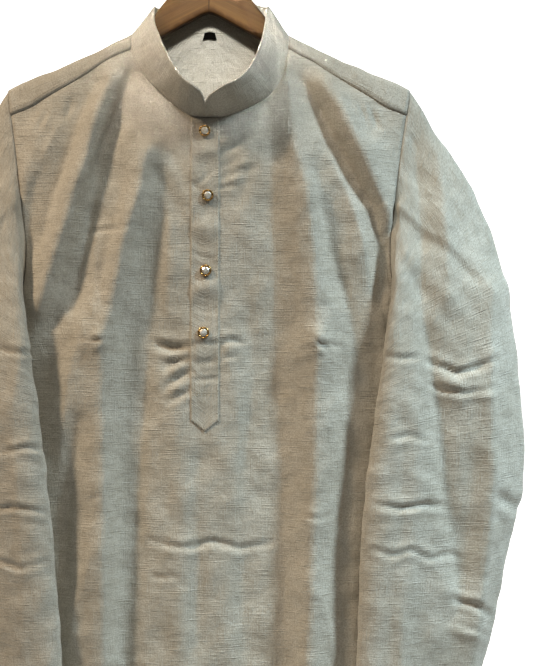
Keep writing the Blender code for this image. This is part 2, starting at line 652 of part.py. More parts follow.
def label(yoke_piece):
    """The bare label that hangs from the neck seam against the inside of the yoke."""
    middle = len(yoke_piece["grid"]) // 2
    spokes = slice(middle - 1, middle + 2)
    grid, normal = yoke_piece["grid"][spokes, :3], yoke_piece["normal"][spokes, :3]
    lines = grid - normal * (CLOTH / 2 + LAYER_GAP + LABEL_CLOTH / 2)
    rows = []
    for drop in (0.8, LABEL_DROP / 2, LABEL_DROP):
        row = []
        for line in lines:
            run = np.concatenate([[0], np.cumsum(np.linalg.norm(np.diff(line, axis=0), axis=1))])
            row.append([np.interp(drop, run, line[:, axis]) for axis in range(3)])
        rows.append(row)
    piece = piece_of("neck_label", np.array(rows), cloth=LABEL_CLOTH)
    add_solid("neck_label", *wall(piece))


def hanger_board():
    stations = np.concatenate([
        np.linspace(-BOARD_HALF_WIDTH, -180, 4), np.linspace(-180, -60, 7)[1:], np.linspace(-60, 60, 11)[1:],
        np.linspace(60, 180, 7)[1:], np.linspace(180, BOARD_HALF_WIDTH, 4)[1:],
    ])
    points, faces = [], []
    for x in stations:
        top = float(shoulder_z(x)) - CLOTH / 2 - BOARD_DROP if abs(x) > 94 else float(curve(BOARD_NECK, abs(x)))
        low = float(curve(BOARD_BOTTOM, abs(x)))
        half = BOARD_THICKNESS / 2 * (1 if abs(x) < 200 else 0.8)
        round_top, round_low = 5.5, 3.0
        section = []
        for turn in (90, 60, 30, 0):
            a = math.radians(turn)
            section.append((half - round_top + round_top * math.cos(a), top - round_top + round_top * math.sin(a)))
        for turn in (0, -45, -90):
            a = math.radians(turn)
            section.append((half - round_low + round_low * math.cos(a), low + round_low + round_low * math.sin(a)))
        section = section + [(-y, z) for y, z in section[::-1]]
        points += [(x, y, z) for y, z in section]
    ring = len(section)
    for s in range(len(stations) - 1):
        for k in range(ring):
            n = (k + 1) % ring
            a, b = s * ring, (s + 1) * ring
            faces += [(a + k, a + n, b + k), (a + n, b + n, b + k)]
    for s, turned in ((0, False), (len(stations) - 1, True)):
        centre = len(points)
        points.append(np.mean(np.array(points[s * ring : (s + 1) * ring]), axis=0))
        for k in range(ring):
            n = (k + 1) % ring
            face = (centre, s * ring + n, s * ring + k)
            faces.append(face[::-1] if turned else face)
    add_solid("hanger_board", points, faces)


def hanger_hook():
    path = along(HOOK, 30)
    around = 10
    points, faces = [], []
    count = len(path)
    for k, (x, z) in enumerate(path):
        tangent = path[min(k + 1, count - 1)] - path[max(k - 1, 0)]
        tangent = tangent / np.linalg.norm(tangent)
        across = np.array([tangent[1], 0.0, -tangent[0]])
        radius = WIRE_DIAMETER / 2
        for j in range(around):
            turn = 2 * math.pi * j / around
            points.append(np.array([x, 0, z]) + radius * (across * math.cos(turn) + np.array([0, 1.0, 0]) * math.sin(turn)))
    for k in range(count - 1):
        for j in range(around):
            n = (j + 1) % around
            a, b = k * around, (k + 1) * around
            faces += [(a + j, b + j, a + n), (a + n, b + j, b + n)]
    for k, turned in ((0, False), (count - 1, True)):
        centre = len(points)
        points.append(np.array([path[k][0], 0, path[k][1]]))
        for j in range(around):
            n = (j + 1) % around
            face = (centre, k * around + j, k * around + n)
            faces.append(face[::-1] if turned else face)
    add_solid("hanger_hook", points, faces)


def build():
    for obj in list(bpy.data.objects):
        bpy.data.objects.remove(obj)

    seam_steps, neck_steps = 9, 6
    front, middle_at = front_grid(seam_steps, neck_steps, FRONT_UNDERARM_ROW + 1, 14)
    first_neck, last_neck = seam_steps, front.shape[1] - 1 - seam_steps
    yoke = yoke_grid(front, first_neck, last_neck)
    back = back_grid(yoke, BACK_UNDERARM_ROW + 1, 11)
    arm = (front, yoke, back)
    pieces = [
        piece_of("front", front),
        piece_of("yoke", yoke),
        piece_of("back", back, flip=True),
        piece_of("sleeve_left", sleeve_grid(1, *arm, SLEEVE_LEFT, 20), ring=True, flip=True),
        piece_of("sleeve_right", sleeve_grid(-1, *arm, SLEEVE_RIGHT, 20), ring=True),
        piece_of("collar", collar_grid(front, yoke, first_neck, last_neck, 3), cloth=COLLAR_CLOTH),
    ]
    share_seams(pieces)
    for piece in (pieces[0], pieces[2]):
        below = piece["grid"][:, 0, 2] < UNDERARM_Z - 1
        piece["normal"][below, 0] = (-1, 0, 0)
        piece["normal"][below, -1] = (1, 0, 0)
    placket = placket_piece(pieces[0], middle_at)
    label(pieces[1])
    for piece in pieces:
        pull_back(piece)
    for piece in pieces + [placket]:
        add_solid(piece["name"], *wall(piece))
    for k, (x, z) in enumerate(BUTTON_XZ):
        button(f"button_{k + 1}", x, z, placket)
    hanger_board()
    hanger_hook()


build()
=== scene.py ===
# %% [markdown]
# # A kurta on a wooden hanger
#
# The real thing is a long cotton-silk shirt with a stand collar. It hangs closed on a flat wooden hanger.
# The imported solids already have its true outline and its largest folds, in plain walls of cloth.
# This script dresses them: finer cloth with creases, stitching, buttons, wood grain, light and a camera.
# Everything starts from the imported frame, so that the looks can't drift away from the solids.

# %% Load the frame
import math

import bmesh
import bpy
import numpy as np
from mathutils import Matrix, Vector
from mathutils.bvhtree import BVHTree


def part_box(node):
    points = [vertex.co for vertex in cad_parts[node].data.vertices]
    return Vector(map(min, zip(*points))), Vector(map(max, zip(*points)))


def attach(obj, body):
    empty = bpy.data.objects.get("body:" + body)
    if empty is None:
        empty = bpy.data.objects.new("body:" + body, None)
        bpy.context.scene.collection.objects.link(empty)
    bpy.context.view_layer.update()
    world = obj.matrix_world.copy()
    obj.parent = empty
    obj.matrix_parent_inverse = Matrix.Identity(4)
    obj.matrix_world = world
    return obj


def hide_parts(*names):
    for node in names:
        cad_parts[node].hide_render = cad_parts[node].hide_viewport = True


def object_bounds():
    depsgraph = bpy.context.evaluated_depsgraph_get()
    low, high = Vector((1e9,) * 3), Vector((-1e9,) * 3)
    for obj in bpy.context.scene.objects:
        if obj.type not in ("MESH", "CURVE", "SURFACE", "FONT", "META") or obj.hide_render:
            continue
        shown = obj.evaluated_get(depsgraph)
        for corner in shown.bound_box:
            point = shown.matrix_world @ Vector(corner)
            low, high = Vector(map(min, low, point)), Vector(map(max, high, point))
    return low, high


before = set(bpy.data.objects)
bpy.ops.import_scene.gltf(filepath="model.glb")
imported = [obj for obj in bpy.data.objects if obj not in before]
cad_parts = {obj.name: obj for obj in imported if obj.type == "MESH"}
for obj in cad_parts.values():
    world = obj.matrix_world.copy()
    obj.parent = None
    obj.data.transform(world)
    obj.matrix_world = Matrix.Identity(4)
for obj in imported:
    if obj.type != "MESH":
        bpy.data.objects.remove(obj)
cad_box = [list(corner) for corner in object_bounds()]
MM = 0.001
print("solids:", len(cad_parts), "box in metres:", np.round(cad_box, 3).tolist())

# %% [markdown]
# ## Sizes
#
# A tailor's sizes, in millimetres. The wall of the body is a thin cotton-silk cloth. The collar is doubled
# and stiffened, so it is thicker. A machine stitch is about 2.6 mm long with a small gap after it.

# %% Sizes of the cloth and the sewing
CLOTH = 1.2
COLLAR_CLOTH = 2.0
LABEL_CLOTH = 0.6
PLACKET_CLOTH = 0.2
HEM_CLOTH = 0.96
STITCH = 2.6
STITCH_GAP = 0.9
THREAD = 0.42
HEM_STITCH_UP = 19.0
CUFF_STITCH_UP = 24.0
# cells of the finer grids; below FINE_TO the front's are twice as long, because the camera doesn't see them
BODY_CELL = 3.1
FINE_TO = 680.0
BACK_CELL = 4.2
SLEEVE_CELL = 3.2
YOKE_CELL = 3.4
COLLAR_CELL = 2.4
PLACKET_LIFT = 1.3
SEAM_LAP = 1.3
SEAM_RISE = 0.7
# how far from its seams a panel's folds reach their full height
FRONT_HELD = 8
BACK_HELD = 14
SLEEVE_HELD = 16
print("cloth", CLOTH, "mm, collar", COLLAR_CLOTH, "mm, a stitch every", STITCH + STITCH_GAP, "mm")

# %% [markdown]
# ## Reading a panel back from its solid
#
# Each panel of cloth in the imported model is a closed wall: an outer skin, an inner skin and thin rims.
# Its skin was made as a grid, and every cell of it was cut along the same diagonal. Going round each
# triangle the three edges always come in the same order: across, down, diagonal. So once one triangle
# is understood, its neighbours follow, and rows and columns of points can be read back. The other ways
# are a remesh, which forgets the grain of the cloth, or a Subdivision Surface, which pulls the seams apart.

# %% Find the outer skin of a wall
# a rim's triangles have a side as short as the wall is thick, give or take this much
RIM_SLACK = 0.04


def outer_skin(node, inside, thickness):
    """The merged points of a solid and the triangles of its outer skin, without its thin rims."""
    mesh = node.data
    mesh.calc_loop_triangles()
    points = np.array([v.co for v in mesh.vertices]) / MM
    faces = np.array([t.vertices for t in mesh.loop_triangles])
    _, first, where = np.unique(np.round(points, 2), axis=0, return_index=True, return_inverse=True)
    points = points[first]
    faces = where.reshape(-1)[faces]
    corners = points[faces]
    shortest = np.linalg.norm(corners - np.roll(corners, -1, axis=1), axis=2).min(axis=1)
    faces = faces[shortest > thickness + RIM_SLACK]
    group = np.arange(len(points))
    while True:
        lowest = group[faces].min(axis=1)
        merged = group.copy()
        for k in range(3):
            np.minimum.at(merged, faces[:, k], lowest)
        if (merged == group).all():
            break
        group = merged
    skins = [faces[group[faces[:, 0]] == name] for name in np.unique(group[faces[:, 0]])]

    def outwards(skin):
        a, b, c = (points[skin[:, k]] for k in range(3))
        return (np.cross(b - a, c - a) * ((a + b + c) / 3 - inside)).sum()

    return points, max(skins, key=outwards)


# %% Read its rows and columns
def rows_and_columns(node, inside, thickness):
    """The outer skin of a panel as a grid of points, and whether its rows close into rings."""
    points, faces = outer_skin(node, np.array(inside, float), thickness)
    users = {}
    for f, face in enumerate(faces):
        for k in range(3):
            users.setdefault(frozenset((face[k], face[(k + 1) % 3])), []).append((f, k))
    count = np.bincount(faces.ravel(), minlength=len(points))
    ring = not (count == 1).any()
    if ring:
        f, k = next(found[0] for found in users.values() if len(found) == 1)
        corner = points[faces[f]]
        sides = np.linalg.norm(corner - np.roll(corner, -1, axis=0), axis=1)
        diagonal = max((k + 1, k + 2), key=lambda j: sides[j % 3])
    else:
        start = int(np.argmax(count == 1))
        f = int(np.argmax((faces == start).any(axis=1)))
        diagonal = int(np.argmax(faces[f] == start)) + 1
    place = np.full(len(faces), -1)
    place[f] = diagonal % 3
    todo = [f]
    while todo:
        f = todo.pop()
        for k in range(3):
            for g, j in users[frozenset((faces[f][k], faces[f][(k + 1) % 3]))]:
                if place[g] < 0:
                    place[g] = (j - k + place[f]) % 3
                    todo.append(g)
    links = ({}, {})
    for f, face in enumerate(faces):
        for way in (0, 1):
            a, b = face[(place[f] + 1 + way) % 3], face[(place[f] + 2 + way) % 3]
            links[way].setdefault(a, set()).add(b)
            links[way].setdefault(b, set()).add(a)
    across = 0
    if ring:
        edge = [tuple(pair) for pair, found in users.items() if len(found) == 1]
        across = 0 if edge[0][1] in links[0].get(edge[0][0], ()) else 1
        start = max({p for pair in edge for p in pair}, key=lambda p: points[p][2])
    first = follow(start, links[across])
    lines = [follow(p, links[1 - across]) for p in first]
    return points[np.array(lines)].transpose(1, 0, 2), ring


# %% Follow a line of edges
def follow(start, links):
    """The points from start along one kind of edge, to the end of the line or round to the start."""
    line = [start]
    while True:
        ahead = [p for p in links.get(line[-1], ()) if len(line) < 2 or p != line[-2]]
        if not ahead or ahead[0] == start or (len(line) > 2 and start in ahead):
            return line
        line.append(ahead[0])


# %% Put a grid the right way up
def upright(grid, ring):
    """Rows from the top down, columns from -X to +X, or round a ring."""
    down = grid[0, :, 2].mean() - grid[-1, :, 2].mean()
    across = abs(grid[:, 0, 2].mean() - grid[:, -1, 2].mean())
    if not ring and across > abs(down):
        grid = grid.transpose(1, 0, 2)
    if grid[0, :, 2].mean() < grid[-1, :, 2].mean():
        grid = grid[::-1]
    if not ring and grid[:, 0, 0].mean() > grid[:, -1, 0].mean():
        grid = grid[:, ::-1]
    return grid


# a point on the inner side of each panel, and how thick it is
INSIDE = {
    "front": ((0, 200, -700), CLOTH),
    "back": ((0, -200, -700), CLOTH),
    "collar": ((0, -25, -160), COLLAR_CLOTH),
    "sleeve_left": ((255, -30, -560), CLOTH),
    "sleeve_right": ((-255, -30, -560), CLOTH),
}
panels = {}
for name, (inside, thickness) in INSIDE.items():
    grid, ring = rows_and_columns(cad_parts[name], inside, thickness)
    panels[name] = upright(grid, ring)
    print(name, "rows and columns:", panels[name].shape[:2])
yoke, _ = rows_and_columns(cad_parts["yoke"], (0, 0, -400), CLOTH)
panels["yoke"] = yoke if yoke[0, 0, 0] < yoke[-1, 0, 0] else yoke[::-1]
print("yoke rows and columns:", panels["yoke"].shape[:2])

# %% [markdown]
# ## Finer cloth from a coarse grid
#
# A smooth curve through the coarse points, first down each column and then along each row, gives as many
# points as the creases need and still passes through every point of the solid. The seams stay where they are.

# %% A smooth curve through points, and a finer grid
def smooth_through(values, at_rows, wanted):
    """Values read between the rows they are given at, along a smooth curve through them."""
    step = np.diff(at_rows)[:, None]
    rise = np.diff(values, axis=0) / step
    between = (rise[1:] * step[:-1] + rise[:-1] * step[1:]) / (step[1:] + step[:-1])
    slope = np.vstack([rise[:1], between, rise[-1:]])
    k = np.clip(np.searchsorted(at_rows, wanted) - 1, 0, len(at_rows) - 2)
    t = ((wanted - at_rows[k]) / step[k, 0])[:, None]
    return (
        values[k] * (1 + 2 * t) * (1 - t) ** 2
        + values[k + 1] * t * t * (3 - 2 * t)
        + slope[k] * step[k] * t * (1 - t) ** 2
        + slope[k + 1] * step[k] * t * t * (t - 1)
    )


def run_along(grid):
    """How far along its rows each row of a grid lies, on average."""
    steps = np.linalg.norm(np.diff(grid, axis=0), axis=2).mean(axis=1)
    return np.concatenate([[0], np.cumsum(steps)])


def finer(grid, cell, ring=False, fine_to=None):
    """The same cloth with cells of about the given size, and the distance down and across at each point."""
    if ring:
        grid = np.concatenate([grid[:, -2:], grid, grid[:, :3]], axis=1)
    down = run_along(grid)
    rows = np.linspace(0, down[-1], max(int(down[-1] / cell), 2) + 1)
    if fine_to:
        upper = np.linspace(0, fine_to, int(fine_to / cell) + 1)[:-1]
        lower = np.linspace(fine_to, down[-1], int((down[-1] - fine_to) / (cell * 2)) + 1)
        rows = np.concatenate([upper, lower])
    tall = smooth_through(grid.reshape(len(grid), -1), down, rows).reshape(len(rows), -1, 3)
    turned = tall.transpose(1, 0, 2)
    across = run_along(turned)
    low, high = (across[2], across[-3]) if ring else (0, across[-1])
    columns = np.linspace(low, high, max(int((high - low) / cell), 2) + 1)
    if ring:
        columns = columns[:-1]
    wide = smooth_through(turned.reshape(len(turned), -1), across, columns)
    return wide.reshape(len(columns), -1, 3).transpose(1, 0, 2), rows, columns - low


# %% Which way is out
def unit(v):
    """Vectors of length 1."""
    return v / np.maximum(np.linalg.norm(v, axis=-1, keepdims=True), 1e-9)


def facing(grid, ring, towards):
    """The direction out of the cloth at each point. It points the way that towards says, on average."""
    if ring:
        across = np.roll(grid, -1, axis=1) - np.roll(grid, 1, axis=1)
    else:
        across = np.gradient(grid, axis=1)
    out = unit(np.cross(np.gradient(grid, axis=0), across))
    return out if (out * towards).sum() > 0 else -out


# %% [markdown]
# ## Creases
#
# Pressed cotton-silk keeps small sharp creases over its big soft folds. They could be painted into a bump
# map, but then the outline stays smooth and they vanish from the side. Here each crease is a short line
# given on the panel, with its own width and depth, and the cloth itself sinks along it. The cloth
# beside it rises a little, because the spare cloth has to go somewhere.

# %% Creases as soft troughs along short lines
SOFT_TOP = 3.0


def distance_to(points, line):
    """How far each point lies from a line of several stretches, and how far along it, from 0 to 1."""
    line = np.array(line, float)
    lengths = np.linalg.norm(np.diff(line, axis=0), axis=1)
    starts = np.concatenate([[0], np.cumsum(lengths)])
    best = np.full(points.shape[:-1], 1e9)
    along = np.zeros(points.shape[:-1])
    for k, (a, b) in enumerate(zip(line[:-1], line[1:])):
        t = np.clip(((points - a) @ (b - a)) / max(lengths[k] ** 2, 1e-9), 0, 1)
        away = np.linalg.norm(points - a - t[..., None] * (b - a), axis=-1)
        nearer = away < best
        best = np.where(nearer, away, best)
        along = np.where(nearer, (starts[k] + t * lengths[k]) / starts[-1], along)
    return best, along


def creased(flat_points, table):
    """How far the cloth sinks, below 0, or rises at each point, from a table of creases."""
    lift = np.zeros(flat_points.shape[:-1])
    for width, depth, line in table:
        away, along = distance_to(flat_points, line)
        fade = np.sin(math.pi * np.clip(0.06 + 0.88 * along, 0, 1)) ** 0.7
        trough = np.exp(-((away / width) ** 2))
        shoulder = np.exp(-(((away - 2.1 * width) / (1.1 * width)) ** 2))
        lift = lift + depth * fade * (0.45 * shoulder - trough)
    return lift


# %% Folds as tents over lines, and soft unevenness
def folded(flat_points, table):
    """How far crests stand out and valleys sink in: each is a tent with a soft top over a line."""
    lift = np.zeros(flat_points.shape[:-1])
    for reach, height, line in table:
        away, along = distance_to(flat_points, line)
        fade = np.sin(math.pi * (0.16 + 0.72 * along)) ** 0.5
        lift = lift + height * fade * np.exp((SOFT_TOP - np.hypot(away, SOFT_TOP)) / reach)
    return lift


def uneven(flat_points, seed, size, height):
    """Soft unevenness of the cloth: a few waves that cross at odd angles, always the same for one seed."""
    random = np.random.default_rng(seed)
    lift = np.zeros(flat_points.shape[:-1])
    for _ in range(9):
        turn = random.uniform(0, math.pi)
        wave = 2 * math.pi / (size * random.uniform(0.7, 1.7))
        direction = np.array([math.cos(turn), math.sin(turn)]) * wave
        bend = 0.6 * np.sin(flat_points @ direction[::-1] * 0.37 + random.uniform(0, 6))
        lift = lift + np.sin(flat_points @ direction + bend + random.uniform(0, 6))
    return lift * height / 3


# %% [markdown]
# ## Where the folds hang
#
# The tables say where the folds are, in millimetres on the garment: x to the wearer's left and z up from
# the hook. On the front they fan out from the hanger's two ends and from the collar, then run down to the
# hem. Each row is followed on the photo as far as it shows, so their lengths and spacing differ.

# %% Folds of the front
FRONT_STRENGTH = 1.2
FRONT_FOLDS = (
    # reach, height, line of x, z: crests are above 0 and valleys below
    (11, 9.5, ((-105, -184), (-112, -202), (-121, -235), (-127, -268), (-139, -303), (-149, -336),
               (-160, -369), (-181, -436))),
    (10, -9, ((-86, -178), (-94, -202), (-102, -235), (-116, -268), (-120, -303), (-126, -336),
              (-134, -369), (-146, -436))),
    (11, -6, ((-125, -189), (-133, -202), (-143, -235), (-154, -268), (-165, -303), (-176, -336),
              (-184, -369))),
    (12, 4.9, ((-160, -235), (-178, -268), (-195, -303))),
    (9, 2.8, ((-118, -300), (-121, -352), (-121, -402), (-119, -436))),
    (11, 8, ((-64, -266), (-71, -303), (-81, -336), (-91, -369), (-97, -402), (-104, -436), (-114, -470))),
    (11, -3.5, ((-94, -295), (-97, -336), (-107, -369), (-114, -402), (-112, -430))),
    (16, 8.4, ((-114, -470), (-114, -535), (-112, -650), (-111, -765), (-112, -1000), (-114, -1150))),
    (18, -7, ((-58, -289), (-50, -336), (-56, -385), (-63, -452), (-72, -576), (-78, -673), (-89, -814))),
    (16, -5.6, ((-89, -814), (-95, -960), (-100, -1150))),
    (12, 4.2, ((-42, -320), (-40, -370), (-43, -436))),
    (13, 5.6, ((-132, -455), (-147, -515), (-157, -587), (-162, -630))),
    (12, -5.6, ((-138, -556), (-147, -609), (-152, -655), (-156, -720))),
    (12, 4.2, ((-120, -690), (-129, -722), (-141, -758), (-149, -801))),
    (12, 10, ((122, -190), (139, -216), (155, -248), (169, -277), (183, -309), (198, -341))),
    (11, -9, ((101, -184), (119, -216), (130, -242), (144, -269), (158, -295), (176, -323),
              (184, -357), (187, -430))),
    (12, 5.6, ((134, -275), (148, -309), (159, -336), (167, -363), (172, -395), (178, -430))),
    (12, -5.6, ((118, -290), (128, -340), (137, -381), (148, -416), (158, -459), (164, -512))),
    (13, -3.5, ((152, -505), (154, -576), (153, -641), (151, -720), (149, -820), (152, -1000),
                (157, -1150))),
    (18, 8, ((186, -440), (197, -560), (203, -700), (208, -900), (213, -1150))),
    (15, 7, ((82, -182), (89, -215), (94, -263), (105, -302), (111, -338), (114, -380), (117, -430),
             (118, -470))),
    (16, 9.8, ((118, -465), (117, -534), (116, -598), (114, -662), (111, -748), (107, -860), (108, -1150))),
    (16, -4.9, ((64, -205), (69, -250), (71, -400), (76, -534), (80, -660), (82, -818), (76, -1000),
                (74, -1150))),
    (9, 3.5, ((122, -742), (130, -775), (138, -812))),
    (14, 3.5, ((20, -470), (34, -560), (30, -640))),
    (16, -3.5, ((44, -420), (48, -520), (40, -600))),
)
print("folds of the front:", len(FRONT_FOLDS))

# %% [markdown]
# The back and the sleeves can't be seen, or only in part. They get folds of the same kind in other places.

# %% Folds of the back and the sleeves
BACK_FOLDS = (
    (16, 7, ((-128, -262), (-132, -420), (-126, -640), (-134, -1140))),
    (16, -5.6, ((-96, -262), (-100, -420), (-96, -640), (-108, -1140))),
    (15, 7, ((-56, -270), (-62, -470), (-56, -700), (-66, -1140))),
    (16, 7.7, ((18, -262), (12, -440), (20, -700), (14, -1140))),
    (15, -5.6, ((50, -262), (46, -440), (54, -700), (58, -1140))),
    (16, 7, ((88, -262), (84, -460), (92, -720), (100, -1140))),
    (14, -5.6, ((126, -280), (122, -460), (132, -720), (144, -1140))),
    (13, 5.6, ((164, -330), (156, -460), (166, -700))),
)
LEFT_SLEEVE_FOLDS = {
    "front": (
        (18, 13, ((304, -416), (302, -480), (301, -534), (303, -620), (298, -685), (290, -760),
                  (276, -850))),
        (17, -11, ((234, -362), (231, -426), (240, -480), (250, -556), (257, -620), (266, -685),
                   (272, -740))),
        (13, 7, ((250, -265), (254, -319), (256, -362), (258, -430))),
        (11, -6, ((226, -250), (230, -300), (233, -362))),
        (7, 6, ((204, -322), (228, -342), (254, -362), (284, -392), (306, -420))),
        (8, -3.5, ((212, -336), (236, -356), (262, -376), (288, -404))),
        (10, 4.2, ((258, -736), (276, -746), (290, -742))),
        (10, 4.2, ((258, -778), (272, -786), (286, -784))),
        (9, 4.2, ((252, -512), (276, -524), (296, -530))),
        (12, 3.5, ((200, -660), (204, -760), (206, -840))),
    ),
    "behind": (
        (14, 6.3, ((250, -330), (276, -420), (288, -520), (286, -640), (262, -840))),
        (14, -4.9, ((222, -380), (238, -470), (240, -600), (226, -820))),
        (10, 4.2, ((240, -690), (266, -700), (286, -692))),
    ),
}
RIGHT_SLEEVE_FOLDS = {
    "front": (
        (17, 9, ((-300, -420), (-304, -500), (-302, -600), (-292, -720), (-270, -850))),
        (17, -8, ((-222, -340), (-240, -430), (-250, -540), (-240, -660), (-224, -830))),
        (10, 4.9, ((-206, -318), (-232, -344), (-262, -374), (-294, -412))),
        (10, 4.2, ((-196, -470), (-206, -560), (-196, -700), (-190, -840))),
    ),
    "behind": (
        (14, 6.3, ((-248, -330), (-272, -420), (-286, -520), (-282, -650), (-256, -840))),
        (14, -4.9, ((-226, -390), (-236, -480), (-238, -610), (-222, -820))),
    ),
}
print("folds of the back:", len(BACK_FOLDS), "and of a sleeve's front:", len(LEFT_SLEEVE_FOLDS["front"]))

# %% [markdown]
# Creases are narrower than folds. Long rows deepen the valleys beside the big folds. Short rows are the
# pinches beside the placket, two little stars where the shirt was pinned for packing, and the wavy lines
# lower down, where it lay folded in its bag.

# %% Creases of the front and the back
FRONT_CREASES = (
    # width, depth, line of x, z
    (9, 2.6, ((-98, -215), (-112, -262), (-136, -310), (-152, -365), (-166, -450))),
    (8, 1.2, ((-166, -440), (-172, -520), (-158, -640), (-154, -780), (-160, -1100))),
    (12, 3, ((-62, -300), (-70, -380), (-83, -480), (-86, -600), (-90, -760), (-98, -1120))),
    (10, 3.4, ((108, -175), (121, -203), (133, -234), (152, -266), (171, -298), (184, -335))),
    (11, 2.6, ((128, -330), (136, -400), (150, -440), (152, -580), (136, -740), (140, -1120))),
    (7, 2, ((-178, -250), (-190, -300), (-196, -360))),
    (9, 1.4, ((34, -585), (40, -640), (38, -760), (46, -1000))),
    (7, 1.6, ((-8, -585), (-14, -640), (-10, -720), (-16, -900))),
    (7, 1.5, ((-52, -242), (-38, -268), (-22, -300))),
    (6, 1.2, ((-66, -262), (-50, -296), (-30, -334))),
    (7, 1.5, ((36, -252), (25, -276), (14, -302))),
    (6, 1, ((52, -262), (40, -300), (24, -340))),
    (2.6, 1.5, ((8, -306), (20, -304), (33, -302))),
    (4.0, 2.4, ((14, -269), (30, -258), (46, -247))),
    (3.4, 1.4, ((16, -296), (34, -288), (52, -284))),
    (2.4, 1.0, ((-76, -610), (-90, -616), (-104, -622))),
    (2.2, 0.8, ((-117, -635), (-127, -644))),
    (2.6, 1.0, ((120, -434), (130, -431), (140, -429))),
    (2.6, 1.0, ((138, -684), (145, -692), (153, -700))),
    (2.6, 1.5, ((-131, -352), (-98, -350), (-72, -348))),
    (4.2, 4.2, ((-56, -474), (-36, -479), (-19, -477))),
    (3.6, 3.2, ((-46, -498), (-30, -491), (-19, -489))),
    (3.6, 3.2, ((-46, -520), (-30, -509), (-19, -503))),
    (3.4, 2.8, ((-42, -536), (-28, -528), (-19, -524))),
    (3.2, 2.6, ((14, -473), (26, -469), (38, -473))),
    (2.4, 1.4, ((14, -492), (24, -487), (32, -488))),
    (2.6, 1.7, ((-133, -469), (-117, -470), (-101, -468))),
    (2.4, 1.5, ((-124, -461), (-117, -470), (-110, -479))),
    (2.4, 1.4, ((-125, -478), (-117, -470), (-108, -462))),
    (2.8, 2.2, ((103, -481), (122, -474), (146, -477))),
    (2.4, 1.5, ((114, -466), (123, -475), (131, -485))),
    (3.4, 2.2, ((-62, -684), (-42, -690), (-20, -692), (6, -686), (36, -694), (68, -689))),
    (2.8, 1.5, ((-60, -723), (-47, -725), (-34, -722))),
    (2.6, 1.4, ((98, -655), (118, -660), (134, -656))),
    (3.0, 1.7, ((176, -216), (181, -226), (186, -238))),
    (2.8, 1.4, ((164, -212), (168, -222), (171, -232))),
    (3.0, 1.5, ((-176, -218), (-180, -230), (-186, -242))),
    (3.0, 1.5, ((-150, -205), (-152, -216), (-156, -228))),
    (3.0, 1.5, ((-120, -820), (-90, -826), (-62, -820))),
    (3.0, 1.7, ((58, -842), (84, -836), (118, -842))),
    (3.4, 1.7, ((-40, -930), (-8, -936), (30, -930), (60, -936))),
    (3.0, 1.5, ((-190, -905), (-160, -912), (-136, -906))),
    (3.0, 1.4, ((128, -980), (160, -974), (188, -980))),
    (3.0, 1.4, ((-90, -1040), (-56, -1046), (-24, -1040))),
)
BACK_CREASES = (
    # width, depth, line of x, z
    (10, 2.6, ((-92, -262), (-96, -420), (-92, -640), (-104, -1120))),
    (11, 2.8, ((-14, -262), (-22, -440), (-16, -700), (-26, -1120))),
    (10, 2.6, ((52, -262), (48, -440), (56, -680), (60, -1120))),
    (10, 2.4, ((120, -262), (118, -430), (128, -700), (140, -1120))),
    (8, 2, ((-196, -360), (-176, -460), (-186, -640))),
    (8, 2, ((196, -360), (180, -450), (190, -660))),
    (2.4, 1, ((-160, -318), (-60, -321), (40, -317), (150, -321))),
    (3.0, 1.9, ((-120, -468), (-86, -474), (-50, -469))),
    (3.0, 1.7, ((60, -476), (96, -470), (140, -477))),
    (3.2, 1.9, ((-40, -600), (6, -606), (52, -599))),
    (3.2, 2, ((-150, -702), (-108, -696), (-60, -704), (-20, -698))),
    (3.0, 1.5, ((70, -748), (108, -754), (150, -747))),
    (3.2, 1.7, ((-70, -868), (-20, -861), (34, -868))),
    (3.0, 1.5, ((90, -935), (130, -941), (168, -934))),
    (3.0, 1.5, ((-170, -985), (-130, -978), (-92, -985))),
    (3.0, 1.4, ((-30, -1060), (12, -1054), (56, -1061))),
)
print("creases of the front and the back:", len(FRONT_CREASES), len(BACK_CREASES))

# %% [markdown]
# A sleeve hangs as a flat tube, so its creases are placed on the face that they show on. The front face
# follows the photo. The hidden face has ones of the same kind in other places.

# %% Creases of the sleeves
LEFT_SLEEVE_CREASES = {
    "front": (
        (8, 2.2, ((206, -322), (240, -352), (276, -386), (306, -420))),
        (7, 1.6, ((202, -372), (226, -410), (250, -436))),
        (2.8, 2.2, ((190, -486), (208, -489), (230, -487))),
        (3.6, 3.6, ((236, -491), (250, -497), (268, -505), (286, -500), (307, -490))),
        (3.2, 2.8, ((242, -517), (256, -523), (274, -526), (306, -522))),
        (3.2, 3.2, ((181, -644), (206, -648), (232, -645), (254, -648))),
        (3.0, 2.2, ((176, -690), (196, -698), (216, -692), (240, -703), (262, -699), (276, -706))),
        (3.4, 3.2, ((264, -748), (284, -754), (304, -768))),
        (2.8, 1.7, ((270, -775), (286, -781), (302, -793))),
        (6, 3.2, ((306, -634), (320, -643), (334, -652))),
        (9, 1.8, ((282, -560), (284, -620), (276, -700), (262, -800))),
        (8, 1.6, ((214, -560), (208, -640), (200, -740), (194, -830))),
        (3.0, 1.7, ((192, -575), (214, -570), (238, -577))),
    ),
    "behind": (
        (9, 2, ((226, -330), (262, -380), (300, -430))),
        (3.0, 2.2, ((214, -492), (248, -498), (286, -490))),
        (3.0, 1.9, ((230, -560), (262, -566), (300, -558))),
        (3.2, 2.4, ((196, -650), (236, -657), (280, -649))),
        (3.0, 2, ((184, -716), (220, -723), (262, -715))),
        (3.0, 1.7, ((196, -790), (232, -783), (268, -790))),
        (9, 1.8, ((290, -560), (286, -650), (268, -790))),
    ),
}
